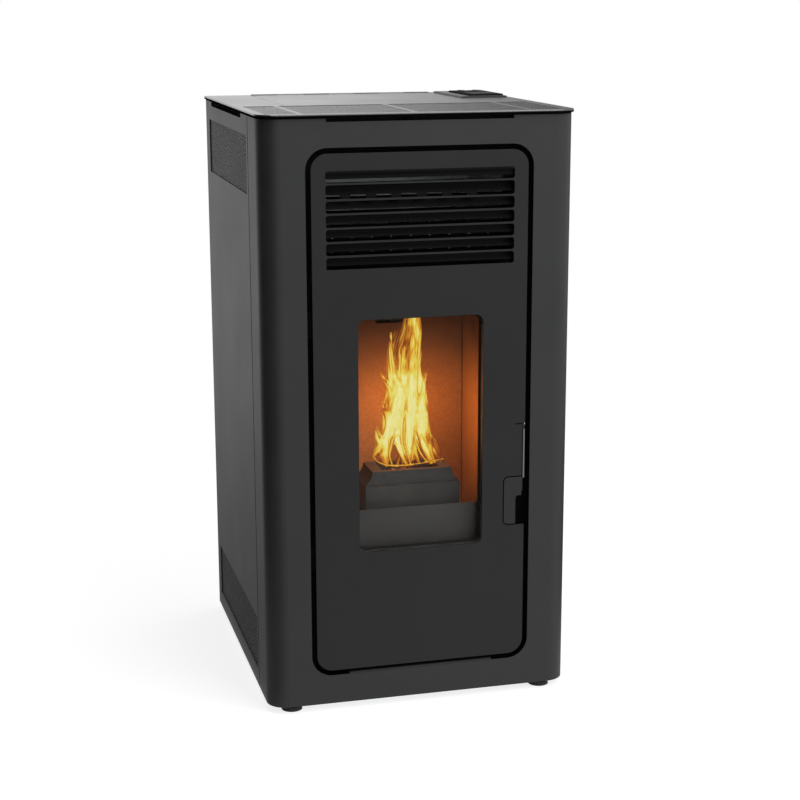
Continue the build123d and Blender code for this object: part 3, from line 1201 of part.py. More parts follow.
def pellet_chute():
    """Sloping square chute from under the front of the tube to the firebox."""
    top = AUGER_Z - AUGER_TUBE_RADIUS + AUGER_TUBE_WALL
    mouth = CHUTE_MOUTH
    rear = mouth + CHUTE_LENGTH
    low = chute_line(mouth)
    high = low + CHUTE_MOUTH_HEIGHT
    shoulder = mouth + CHUTE_THROAT
    knee = high + CHUTE_THROAT
    sheet = CHUTE_SHEET * math.sqrt(2)
    outline = [(rear, top), (shoulder, top), (shoulder, knee), (mouth, high), (mouth, low)]
    floor = [(mouth, low), (rear, top), (rear - sheet, top), (mouth, low + sheet)]
    roof = [(shoulder, top), (shoulder, knee), (mouth, high), (mouth, high - sheet),
            (shoulder + CHUTE_SHEET, knee - sheet + CHUTE_SHEET), (shoulder + CHUTE_SHEET, top)]
    cheek = profile(outline, (CHUTE_HALF, CHUTE_HALF + CHUTE_SHEET))
    across = (-CHUTE_HALF, CHUTE_HALF)
    walls = cheek + mirrored(cheek) + profile(floor, across) + profile(roof, across)
    bore = rod("y", (0, AUGER_Z), AUGER_TUBE_RADIUS - AUGER_TUBE_WALL, (AUGER_TUBE_FRONT, rear + 1))
    return walls - bore


def auger_screw():
    """Shaft with one continuous flight."""
    centre = (0, AUGER_Z)
    front = AUGER_TUBE_FRONT + 2 * AUGER_TUBE_WALL + FIT
    rear = AUGER_TUBE_REAR + GEARBOX_FLANGE + AUGER_GEAR_LENGTH
    shaft = rod("y", centre, AUGER_SHAFT_RADIUS, (front, rear))
    shaft += rod("y", centre, AUGER_NOSE_RADIUS, (AUGER_TUBE_FRONT + FIT, front))
    length = AUGER_TUBE_REAR - AUGER_TUBE_FRONT - AUGER_FLIGHT_MARGIN
    helix = Helix(AUGER_PITCH, length, AUGER_RADIUS / 2)
    inner = AUGER_SHAFT_RADIUS - 1
    start = Plane(origin=helix @ 0, x_dir=(1, 0, 0), z_dir=helix % 0)
    width = AUGER_RADIUS - inner
    section = start * Pos((AUGER_RADIUS + inner) / 2 - AUGER_RADIUS / 2, 0) * Rectangle(width, AUGER_FLIGHT)
    flight = sweep(section, path=helix, is_frenet=True)
    flight = Pos(0, front + length + AUGER_FLIGHT, AUGER_Z) * Rot(90, 0, 0) * flight
    return shaft + flight


def hopper():
    """Sheet hopper: straight walls, funnel and a collar that saddles the auger tube."""
    sheet = HOPPER_SHEET
    tray = block((HOPPER_LEFT - sheet, HOPPER_RIGHT + sheet), (HOPPER_FRONT - sheet, HOPPER_REAR + sheet),
                 (HOPPER_FUNNEL_TOP, HOPPER_TOP))
    tray += funnel(sheet)
    lap = HOPPER_FLANGE_LAP
    tray += block((HOPPER_LEFT - lap, HOPPER_RIGHT + lap), (HOPPER_FLANGE_FRONT, HOPPER_FLANGE_REAR),
                  (CASE_HEIGHT - SHEET, CASE_HEIGHT))
    tray += block((-INLET_HALF - sheet, INLET_HALF + sheet), (INLET_FRONT - sheet, INLET_REAR + sheet),
                  (AUGER_Z + AUGER_SHAFT_RADIUS, HOPPER_COLLAR_TOP))
    tray -= block((HOPPER_LEFT, HOPPER_RIGHT), (HOPPER_FRONT, HOPPER_REAR), (HOPPER_FUNNEL_TOP, TOP_FACE))
    tray -= funnel(0)
    tray -= block((-INLET_HALF, INLET_HALF), (INLET_FRONT, INLET_REAR), (AUGER_Z, HOPPER_COLLAR_TOP + 1))
    return tray - rod("y", (0, AUGER_Z), AUGER_TUBE_RADIUS + FIT, (HOPPER_FRONT, HOPPER_REAR))


def funnel(grow):
    """Tapered part of the hopper, grown outwards by a sheet thickness."""
    def level(x, y, z):
        width = x[1] - x[0] + 2 * grow
        length = y[1] - y[0] + 2 * grow
        return Pos((x[0] + x[1]) / 2, (y[0] + y[1]) / 2, z) * Rectangle(width, length)
    top = level((HOPPER_LEFT, HOPPER_RIGHT), (HOPPER_FRONT, HOPPER_REAR), HOPPER_FUNNEL_TOP)
    bottom = level((-INLET_HALF, INLET_HALF), (INLET_FRONT, INLET_REAR), HOPPER_COLLAR_TOP)
    return loft([bottom, top], ruled=True)


def hopper_grid():
    """Finger guard of parallel bars laid across the hopper."""
    width = HOPPER_RIGHT - HOPPER_LEFT
    length = HOPPER_REAR - HOPPER_FRONT
    pitch = (width - GRID_BAR) / GRID_GAP_COUNT
    gaps = [place * Rectangle(pitch - GRID_BAR, length - 2 * GRID_BAR)
            for place in GridLocations(pitch, length, GRID_GAP_COUNT, 1)]
    grid = extrude(Rectangle(width, length) - gaps, GRID_THICKNESS)
    return Pos((HOPPER_LEFT + HOPPER_RIGHT) / 2, (HOPPER_FRONT + HOPPER_REAR) / 2, GRID_HEIGHT) * grid


def auger_gearmotor():
    half = GEARBOX_HALF
    start = AUGER_TUBE_REAR
    flange_end = start + GEARBOX_FLANGE
    end = flange_end + GEARBOX_LENGTH
    body = block((-half - 4, half + 4), (start, flange_end), (AUGER_Z - half - 4, AUGER_Z + half + 4))
    case = block((-half, half), (flange_end, end), (AUGER_Z - half, AUGER_Z + half))
    body += fillet(case.edges().filter_by(Axis.Y), 4)
    motor = rod("y", (0, AUGER_Z), GEAR_MOTOR_RADIUS, (end, end + GEAR_MOTOR_LENGTH))
    rim = motor.edges().filter_by(GeomType.CIRCLE).sort_by(Axis.Y)[-1:]
    body += fillet(rim, 3)
    bore_end = flange_end + AUGER_GEAR_LENGTH + FIT
    return body - rod("y", (0, AUGER_Z), AUGER_SHAFT_RADIUS + RUN, (start - 1, bore_end))


# ---------------------------------------------------------------- warm air path

def warm_air_duct():
    """Sheet duct that climbs behind the firebox and runs forward over it to the louvre."""
    sheet = DUCT_SHEET

    def outline(grow, front):
        return [
            (front, FIREBOX_TOP - grow),
            (FIREBOX_REAR - grow, FIREBOX_TOP - grow),
            (FIREBOX_REAR - grow, DUCT_BOTTOM - grow),
            (DUCT_REAR + grow, DUCT_BOTTOM - grow),
            (DUCT_REAR + grow, DUCT_TOP + grow),
            (front, DUCT_TOP + grow),
        ]

    duct = profile(outline(0, BULKHEAD_BACK), (-DUCT_HALF, DUCT_HALF))
    duct -= profile(outline(-sheet, BULKHEAD_BACK - 1), (-DUCT_HALF + sheet, DUCT_HALF - sheet))
    rear_wall = (DUCT_REAR - sheet - 1, DUCT_REAR + 1)
    duct -= block((-ROOM_FAN_PORT_HALF, ROOM_FAN_PORT_HALF), rear_wall,
                  (DRUM_Z - ROOM_FAN_PORT_HEIGHT / 2, DRUM_Z + ROOM_FAN_PORT_HEIGHT / 2))
    half = CHUTE_HALF + CHUTE_SHEET + PASS
    duct -= rod("y", (0, AUGER_Z), AUGER_TUBE_RADIUS + PASS, rear_wall)
    duct -= block((-half, half), rear_wall, (chute_line(DUCT_REAR - sheet) - PASS, AUGER_Z))
    duct -= chute_hole((FIREBOX_REAR, FIREBOX_REAR + sheet))
    return duct


def heat_exchanger():
    """Finned block on the duct floor above the firebox."""
    floor = FIREBOX_TOP + DUCT_SHEET
    y = (BULKHEAD_BACK + FIN_FRONT_GAP, BULKHEAD_BACK + FIN_FRONT_GAP + FIN_LENGTH)
    fins = block((-FIN_HALF_WIDTH, FIN_HALF_WIDTH), y, (floor, floor + FIN_BASE))
    step = (2 * FIN_HALF_WIDTH - FIN_THICKNESS) / (FIN_COUNT - 1)
    for index in range(FIN_COUNT):
        left = -FIN_HALF_WIDTH + index * step
        fins += block((left, left + FIN_THICKNESS), y, (floor + FIN_BASE - 1, floor + FIN_BASE + FIN_HEIGHT))
    return fins


def room_fan_housing():
    sheet = ROOM_FAN_SHEET
    y = (DUCT_REAR, DUCT_REAR + ROOM_FAN_DEPTH)
    z = (ROOM_FAN_BOTTOM, ROOM_FAN_BOTTOM + ROOM_FAN_HEIGHT)
    case = block((-ROOM_FAN_HALF, ROOM_FAN_HALF), y, z)
    case -= block((-ROOM_FAN_HALF + sheet, ROOM_FAN_HALF - sheet), (y[0] + sheet, y[1] - sheet),
                  (z[0] + sheet, z[1] - sheet))
    port = (DRUM_Z - ROOM_FAN_PORT_HEIGHT / 2, DRUM_Z + ROOM_FAN_PORT_HEIGHT / 2)
    case -= block((-ROOM_FAN_PORT_HALF, ROOM_FAN_PORT_HALF), (y[0] - 1, y[0] + sheet + 1), port)
    inlet = (DRUM_Y - ROOM_FAN_PORT_HEIGHT / 2, DRUM_Y + ROOM_FAN_PORT_HEIGHT / 2)
    case -= block((-ROOM_FAN_PORT_HALF, ROOM_FAN_PORT_HALF), inlet, (z[0] - 1, z[0] + sheet + 1))
    bearing = (-ROOM_FAN_HALF, -ROOM_FAN_HALF + 4 * sheet)
    case += rod("x", (DRUM_Y, DRUM_Z), 3 * DRUM_SHAFT_RADIUS, bearing)
    case -= rod("x", (DRUM_Y, DRUM_Z), DRUM_SHAFT_RADIUS + RUN, (bearing[0] - 1, bearing[1] + 1))
    right = (ROOM_FAN_HALF - sheet - 1, ROOM_FAN_HALF + 1)
    return case - rod("x", (DRUM_Y, DRUM_Z), 2 * DRUM_SHAFT_RADIUS, right)


def room_fan_motor():
    span = (ROOM_FAN_HALF, ROOM_FAN_HALF + ROOM_MOTOR_LENGTH)
    motor = rod("x", (DRUM_Y, DRUM_Z), ROOM_MOTOR_RADIUS, span)
    rim = motor.edges().filter_by(GeomType.CIRCLE).sort_by(Axis.X)[-1:]
    motor = fillet(rim, 4)
    bore = (span[0] - 1, span[1] - ROOM_MOTOR_END)
    return motor - rod("x", (DRUM_Y, DRUM_Z), DRUM_SHAFT_RADIUS + RUN, bore)


def room_fan_impeller():
    """Cross-flow drum with thin blades between discs, on its shaft."""
    centre = (DRUM_Y, DRUM_Z)
    shaft_end = ROOM_FAN_HALF + ROOM_MOTOR_LENGTH - ROOM_MOTOR_END - FIT
    drum = rod("x", centre, DRUM_SHAFT_RADIUS, (-ROOM_FAN_HALF + FIT, shaft_end))
    for x in (-DRUM_HALF, -DRUM_DISC / 2, DRUM_HALF - DRUM_DISC):
        drum += rod("x", centre, DRUM_RADIUS, (x, x + DRUM_DISC))
    for index in range(DRUM_BLADE_COUNT):
        blade = block((-DRUM_HALF, DRUM_HALF), (DRUM_RADIUS - DRUM_BLADE_DEPTH - 0.5, DRUM_RADIUS - 0.5),
                      (-DRUM_BLADE_THICKNESS / 2, DRUM_BLADE_THICKNESS / 2))
        drum += Pos(0, DRUM_Y, DRUM_Z) * Rot(360 / DRUM_BLADE_COUNT * index, 0, 0) * blade
    return drum


# ---------------------------------------------------------------- smoke path and combustion air

def smoke_box():
    sheet = SMOKE_SHEET
    x = (SMOKE_LEFT, SMOKE_RIGHT)
    box = block(x, (FIREBOX_REAR, SMOKE_REAR), (SMOKE_BOTTOM, SMOKE_TOP))
    box -= block((x[0] + sheet, x[1] - sheet), (FIREBOX_REAR - 1, SMOKE_REAR - sheet),
                 (SMOKE_BOTTOM + sheet, SMOKE_TOP - sheet))
    return box - rod("z", (SMOKE_FAN_X, SMOKE_FAN_Y), SMOKE_FAN_EYE, (SMOKE_TOP - sheet - 1, SMOKE_TOP + 1))


def snail(inset, z):
    """Plan of the smoke fan's scroll and its straight outlet, inset by the wall."""
    left = SMOKE_FAN_X - SMOKE_FAN_RADIUS + inset
    body = rod("z", (SMOKE_FAN_X, SMOKE_FAN_Y), SMOKE_FAN_RADIUS - inset, z)
    outlet = block((left, left + SMOKE_FAN_HEIGHT - 2 * inset),
                   (SMOKE_FAN_Y, SMOKE_FAN_OUTLET_REAR + min(inset, 1)), z)
    return body + outlet


def smoke_fan_housing():
    sheet = SMOKE_FAN_SHEET
    case = snail(0, (SMOKE_TOP, SMOKE_FAN_TOP))
    case -= snail(sheet, (SMOKE_TOP + sheet, SMOKE_FAN_TOP - sheet))
    centre = (SMOKE_FAN_X, SMOKE_FAN_Y)
    case -= rod("z", centre, SMOKE_FAN_EYE, (SMOKE_TOP - 1, SMOKE_TOP + sheet + 1))
    top = (SMOKE_FAN_TOP - sheet - 1, SMOKE_FAN_TOP + 1)
    return case - rod("z", centre, IMPELLER_SHAFT_RADIUS + SMOKE_SHAFT_GAP, top)


def smoke_fan_motor():
    span = (SMOKE_FAN_TOP, SMOKE_FAN_TOP + SMOKE_MOTOR_HEIGHT)
    centre = (SMOKE_FAN_X, SMOKE_FAN_Y)
    motor = rod("z", centre, SMOKE_MOTOR_RADIUS, span)
    rim = motor.edges().filter_by(GeomType.CIRCLE).sort_by(Axis.Z)[-1:]
    motor = fillet(rim, SMOKE_MOTOR_EDGE)
    return motor - rod("z", centre, IMPELLER_SHAFT_RADIUS + RUN, (span[0] - 1, span[0] + SMOKE_SHAFT_SEAT))


def smoke_fan_impeller():
    centre = (SMOKE_FAN_X, SMOKE_FAN_Y)
    disc_top = SMOKE_FAN_TOP - IMPELLER_TOP_GAP
    disc_bottom = disc_top - IMPELLER_SHEET
    blade_bottom = disc_bottom - IMPELLER_BLADE_HEIGHT
    wheel = rod("z", centre, IMPELLER_RADIUS, (disc_bottom, disc_top))
    wheel += rod("z", centre, IMPELLER_HUB, (disc_bottom - IMPELLER_HUB, disc_top))
    for index in range(IMPELLER_BLADE_COUNT):
        blade = block((IMPELLER_RADIUS / 2, IMPELLER_RADIUS - 1), (-IMPELLER_SHEET / 2, IMPELLER_SHEET / 2),
                      (blade_bottom, disc_bottom + 1))
        wheel += Pos(*centre, 0) * Rot(0, 0, 360 / IMPELLER_BLADE_COUNT * index) * blade
    shaft_top = SMOKE_FAN_TOP + SMOKE_SHAFT_SEAT - FIT
    return wheel + rod("z", centre, IMPELLER_SHAFT_RADIUS, (disc_bottom, shaft_top))


def flue_spigot():
    """Pipe from the smoke fan to the back, with the free end that the flue slides over."""
    centre = (FLUE_X, FLUE_Z)
    front = SMOKE_FAN_OUTLET_REAR
    end = CASE_DEPTH + FLUE_STANDOFF
    half = SMOKE_FAN_HEIGHT / 2
    pipe = rod("y", centre, FLUE_RADIUS, (front, end))
    flange_y = (front, front + FLUE_FLANGE)
    pipe += block((FLUE_X - half, FLUE_X + half), flange_y, (FLUE_Z - half, FLUE_Z + half))
    pipe += rod("y", centre, FLUE_COLLAR_RADIUS, (CASE_DEPTH - SHEET, CASE_DEPTH))
    return pipe - rod("y", centre, FLUE_RADIUS - FLUE_WALL, (front - 1, end + 1))


def air_intake_pipe():
    centre = (INTAKE_X, INTAKE_Z)
    end = CASE_DEPTH + INTAKE_STANDOFF
    pipe = rod("y", centre, INTAKE_RADIUS, (FIREBOX_REAR, end))
    pipe += rod("y", centre, INTAKE_COLLAR_RADIUS, (CASE_DEPTH - SHEET, CASE_DEPTH))
    pipe += rod("y", centre, INTAKE_COLLAR_RADIUS, (FIREBOX_REAR, FIREBOX_REAR + SHEET))
    return pipe - rod("y", centre, INTAKE_RADIUS - INTAKE_WALL, (FIREBOX_REAR - 1, end + 1))


# ---------------------------------------------------------------- controls and mains

def panel_box(grow, z):
    """Block of the control panel's housing below the top plate."""
    margin = PANEL_BOX_MARGIN - grow
    return block((SLAB_LEFT + margin, SLAB_RIGHT - margin),
                 (SLAB_FRONT + margin, SLAB_REAR - margin), z)


def button_places():
    places = []
    for row in range(2):
        for column in range(2):
            places.append((SLAB_LEFT + BUTTON_FROM_LEFT + column * BUTTON_COLUMN_PITCH,
                           SLAB_FRONT + BUTTON_FROM_FRONT + row * BUTTON_ROW_PITCH))
    return places


def display_block(inset, top):
    """The display's window, or with inset 0 the recess that it lies in."""
    x, y = DISPLAY_CENTRE
    half_x = DISPLAY_WIDTH / 2 - inset
    half_y = DISPLAY_LENGTH / 2 - inset
    return block((x - half_x, x + half_x), (y - half_y, y + half_y), (PANEL_TOP - DISPLAY_THICKNESS, top))


def control_panel():
    base = block((PANEL_LEFT, PANEL_RIGHT), (PANEL_FRONT, PANEL_REAR), (TOP_FACE, TOP_FACE + PANEL_BASE))
    slab = block((SLAB_LEFT, SLAB_RIGHT), (SLAB_FRONT, SLAB_REAR),
                 (TOP_FACE + PANEL_BASE, PANEL_TOP))
    slab = fillet(slab.faces().sort_by(Axis.Z)[-1].edges(), PANEL_SLAB / 3)
    panel = base + slab + panel_box(0, (TOP_FACE - PANEL_BOX_DEPTH, TOP_FACE))
    panel -= display_block(0, PANEL_TOP + 1)
    seat = PANEL_TOP + BUTTON_PROUD - BUTTON_DEPTH - BUTTON_TRAVEL - FIT
    for place in button_places():
        panel -= rod("z", place, BUTTON_RADIUS + FIT, (seat, PANEL_TOP + 1))
    return panel


def display_window():
    return display_block(FIT, PANEL_TOP)


def button(place):
    top = PANEL_TOP + BUTTON_PROUD
    cap = rod("z", place, BUTTON_RADIUS, (top - BUTTON_DEPTH, top))
    rim = cap.edges().filter_by(GeomType.CIRCLE).sort_by(Axis.Z)[-1:]
    return fillet(rim, 0.8)


def control_board():
    """Printed board on stand-offs on the left side panel, with its larger components."""
    face = -INNER + BOARD_STANDOFF
    x = (face, face + BOARD_THICKNESS)
    board = block(x, (BOARD_FRONT, BOARD_REAR), (BOARD_BOTTOM, BOARD_TOP))
    for y in (BOARD_FRONT + BOARD_EDGE, BOARD_REAR - BOARD_EDGE):
        for z in (BOARD_BOTTOM + BOARD_EDGE, BOARD_TOP - BOARD_EDGE):
            board += rod("x", (y, z), BOARD_POST_RADIUS, (-INNER, face))
    parts = (
        ((30, 70), (30, 70), 28),
        ((90, 120), (30, 60), 16),
        ((30, 60), (100, 160), 12),
        ((85, 140), (90, 110), 14),
        ((85, 140), (125, 160), 10),
    )
    for y, z, height in parts:
        board += block((x[1] - 1, x[1] + height), (BOARD_FRONT + y[0], BOARD_FRONT + y[1]),
                       (BOARD_BOTTOM + z[0], BOARD_BOTTOM + z[1]))
    return board


def mains_socket():
    """Rear inlet module: flange, body, recessed socket with pins, and the switch well."""
    flange_y = (CASE_DEPTH - SHEET, CASE_DEPTH - SHEET + SOCKET_FLANGE)
    body = upright((SOCKET_X - SOCKET_HALF_WIDTH, SOCKET_X + SOCKET_HALF_WIDTH), flange_y,
                   (SOCKET_Z - SOCKET_HALF_HEIGHT, SOCKET_Z + SOCKET_HALF_HEIGHT), 4)
    width = SOCKET_HALF_WIDTH - SOCKET_BODY_MARGIN
    height = SOCKET_HALF_HEIGHT - SOCKET_BODY_MARGIN
    body += block((SOCKET_X - width, SOCKET_X + width), (flange_y[0] - SOCKET_BODY_DEPTH, flange_y[0]),
                  (SOCKET_Z - height, SOCKET_Z + height))
    mouth_z = SOCKET_Z - SOCKET_MOUTH_DROP
    mouth_floor = flange_y[1] - SOCKET_MOUTH_DEPTH
    mouth = upright((SOCKET_X - SOCKET_MOUTH_WIDTH / 2, SOCKET_X + SOCKET_MOUTH_WIDTH / 2),
                    (mouth_floor, flange_y[1] + 1),
                    (mouth_z - SOCKET_MOUTH_HEIGHT / 2, mouth_z + SOCKET_MOUTH_HEIGHT / 2), 3)
    body -= mouth
    for offset in (-SOCKET_PIN_SPACING, 0, SOCKET_PIN_SPACING):
        rise = SOCKET_MOUTH_HEIGHT / 8 if offset == 0 else -SOCKET_MOUTH_HEIGHT / 8
        body += block((SOCKET_X + offset - 1, SOCKET_X + offset + 1),
                      (mouth_floor - 1, mouth_floor + SOCKET_PIN_LENGTH),
                      (mouth_z + rise - 2, mouth_z + rise + 2))
    pivot = switch_pivot()
    body -= rod("x", pivot, SWITCH_RADIUS + FIT, (SOCKET_X - SWITCH_HALF_WIDTH - FIT,
                                                  SOCKET_X + SWITCH_HALF_WIDTH + FIT))
    reach = SWITCH_HALF_WIDTH + SWITCH_PIVOT_LENGTH + FIT
    return body - rod("x", pivot, SWITCH_PIVOT_RADIUS + RUN, (SOCKET_X - reach, SOCKET_X + reach))


def switch_pivot():
    """Depth and height of the rocker's pivot."""
    return CASE_DEPTH - SHEET + SOCKET_FLANGE - SWITCH_FACE + SWITCH_DIP, SOCKET_Z + SWITCH_RISE


def power_switch():
    """Rocker with a shallow vee across its face, tilted to its off position."""
    y, z = switch_pivot()
    span = (SOCKET_X - SWITCH_HALF_WIDTH, SOCKET_X + SWITCH_HALF_WIDTH)
    rocker = rod("x", (y, z), SWITCH_RADIUS, span)
    wide = 2 * SWITCH_RADIUS
    vee = [(y + SWITCH_FACE - SWITCH_DIP, z), (y + SWITCH_FACE, z + SWITCH_RADIUS),
           (y + wide, z + SWITCH_RADIUS), (y + wide, z - SWITCH_RADIUS), (y + SWITCH_FACE, z - SWITCH_RADIUS)]
    rocker -= profile(vee, (span[0] - 1, span[1] + 1))
    rocker = Pos(0, y, z) * Rot(SWITCH_TILT, 0, 0) * Pos(0, -y, -z) * rocker
    return rocker + rod("x", (y, z), SWITCH_PIVOT_RADIUS,
                        (span[0] - SWITCH_PIVOT_LENGTH, span[1] + SWITCH_PIVOT_LENGTH))


def safety_thermostat():
    """Overheat cut-out behind the rear panel, and the screw cap over its reset pin."""
    centre = (THERMOSTAT_X, THERMOSTAT_Z)
    panel_back = REAR_PANEL_Y + SHEET
    neck_end = panel_back + THERMOSTAT_NECK_LENGTH
    body = rod("y", centre, THERMOSTAT_BODY_RADIUS, (REAR_PANEL_Y - THERMOSTAT_BODY_LENGTH, REAR_PANEL_Y))
    body += rod("y", centre, THERMOSTAT_NECK_RADIUS, (REAR_PANEL_Y, neck_end))
    cap_end = panel_back + THERMOSTAT_CAP_LENGTH
    cap = rod("y", centre, THERMOSTAT_CAP_RADIUS, (panel_back, cap_end))
    cap = fillet(cap.edges().filter_by(GeomType.CIRCLE).sort_by(Axis.Y)[-1:], 1)
    cap -= rod("y", centre, THERMOSTAT_NECK_RADIUS + RUN, (panel_back - 1, neck_end + FIT))
    return Compound(children=[body, cap])


# ---------------------------------------------------------------- assembly

def all_parts():
    """Every node of the stove by name, in the case frame."""
    left_panel = side_panel()
    parts = {
        "base_tray": base_tray(),
        "levelling_feet": levelling_feet(),
        "front_surround": front_surround(),
        "left_side_panel": left_panel,
        "right_side_panel": mirrored(left_panel),
        "side_meshes": side_meshes(),
        "rear_panel": rear_panel(),
        "case_screws": case_screws(),
        "top_plate": top_plate(),
        "top_grilles": top_grilles(),
        "lid_hinge": Compound(children=[lid_hinge_leaf(), lid_hinge_pin()]),
        "hopper_lid": hopper_lid(),
        "door_skin": door_skin(),
        "louvre_blades": louvre_blades(),
        "door_frame": door_frame(),
        "door_rope_seal": door_rope_seal(),
        "door_glass": door_glass(),
        "glass_gasket": glass_gasket(),
        "glass_clips": glass_clips(),
        "hinge_brackets": hinge_brackets(),
        "hinge_pins": hinge_pins(),
        "handle_lever": handle_lever(),
        "handle_pivot": handle_pivot(),
        "latch_keeper": latch_keeper(),
        "bulkhead": bulkhead(),
        "firebox_shell": firebox_shell(),
        "side_firebricks": side_firebricks(),
        "back_firebrick": back_firebrick(),
        "flame_baffle": flame_baffle(),
        "burn_pot_holder": burn_pot_holder(),
        "burn_pot": burn_pot(),
        "ash_guard": ash_guard(),
        "ash_pan": ash_pan(),
        "igniter": igniter(),
        "auger_tube": auger_tube(),
        "auger_screw": auger_screw(),
        "hopper": hopper(),
        "hopper_grid": hopper_grid(),
        "auger_gearmotor": auger_gearmotor(),
        "warm_air_duct": warm_air_duct(),
        "heat_exchanger": heat_exchanger(),
        "room_fan_housing": room_fan_housing(),
        "room_fan_motor": room_fan_motor(),
        "room_fan_impeller": room_fan_impeller(),
        "smoke_box": smoke_box(),
        "smoke_fan_housing": smoke_fan_housing(),
        "smoke_fan_motor": smoke_fan_motor(),
        "smoke_fan_impeller": smoke_fan_impeller(),
        "flue_spigot": flue_spigot(),
        "air_intake_pipe": air_intake_pipe(),
        "control_panel": control_panel(),
        "display_window": display_window(),
        "control_board": control_board(),
        "mains_socket": mains_socket(),
        "power_switch": power_switch(),
        "safety_thermostat": safety_thermostat(),
    }
    for name, place in zip(BUTTON_NAMES, button_places()):
        parts[name] = button(place)
    return parts


def write_parts():
    for name, part in all_parts().items():
        placed = Pos(0, FRONT_Y, FOOT_HEIGHT) * part
        export_step(placed, os.path.join("parts", name + ".step"))


write_parts()
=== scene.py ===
import json
import math
import random

import bmesh
import bpy
import numpy as np
from mathutils import Matrix, Vector


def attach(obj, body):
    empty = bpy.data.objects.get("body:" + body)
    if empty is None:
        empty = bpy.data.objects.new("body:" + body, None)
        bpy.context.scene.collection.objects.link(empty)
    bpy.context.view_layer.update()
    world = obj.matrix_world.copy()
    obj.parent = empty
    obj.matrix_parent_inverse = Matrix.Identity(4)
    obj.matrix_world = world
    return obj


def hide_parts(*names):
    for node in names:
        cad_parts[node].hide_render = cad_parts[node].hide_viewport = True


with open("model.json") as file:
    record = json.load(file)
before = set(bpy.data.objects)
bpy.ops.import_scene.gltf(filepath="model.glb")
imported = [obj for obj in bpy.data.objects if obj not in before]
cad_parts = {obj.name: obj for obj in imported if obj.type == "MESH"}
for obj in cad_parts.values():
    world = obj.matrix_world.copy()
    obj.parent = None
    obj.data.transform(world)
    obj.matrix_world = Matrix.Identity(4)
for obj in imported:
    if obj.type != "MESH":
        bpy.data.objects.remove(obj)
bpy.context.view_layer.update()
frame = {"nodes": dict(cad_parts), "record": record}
nodes = frame["nodes"]

# Pieces and the fire are laid out in millimetres in the case frame: x across from the middle of the
# stove, y back from the front face, z up from the underside of the casing. The finishes, the soft
# boxes, the stage and the camera use the frame's metres.
FRONT_FACE_Y = -282.3
CASE_UNDERSIDE_Z = 12.0


def place(x, y, z):
    """A point of the case frame in the frame's metres."""
    return Vector((x / 1000, (y + FRONT_FACE_Y) / 1000, (z + CASE_UNDERSIDE_Z) / 1000))


# ---------------------------------------------------------------- shader maths

class Value:
    """A number that varies over a surface. Python's operators add the Math nodes."""

    def __init__(self, finish, socket):
        self.finish = finish
        self.socket = socket

    def math(self, operation, *terms, clamp=False):
        settings = {"operation": operation, "use_clamp": clamp}
        return self.finish.node("Math", settings, dict(enumerate(terms)))

    def __add__(self, other):
        return self.math("ADD", self, other)

    def __radd__(self, other):
        return self.math("ADD", other, self)

    def __sub__(self, other):
        return self.math("SUBTRACT", self, other)

    def __rsub__(self, other):
        return self.math("SUBTRACT", other, self)

    def __mul__(self, other):
        return self.math("MULTIPLY", self, other)

    def __rmul__(self, other):
        return self.math("MULTIPLY", other, self)

    def __abs__(self):
        return self.math("ABSOLUTE", self)

    def clipped(self):
        return self.math("ADD", self, 0.0, clamp=True)

    def maximum(self, other):
        return self.math("MAXIMUM", self, other)

    def step(self, low, high):
        """Smooth step from 0 at low to 1 at high."""
        settings = {"interpolation_type": "SMOOTHSTEP", "clamp": True}
        return self.finish.node("MapRange", settings, {0: self, 1: low, 2: high, 3: 0.0, 4: 1.0})

    def beyond(self, limit, edge=0.0004):
        """0 up to the limit and 1 past an edge of this width."""
        return self.step(limit, limit + edge)


SHOWN_RAYS = ("Is Camera Ray", "Is Glossy Ray", "Is Transmission Ray")


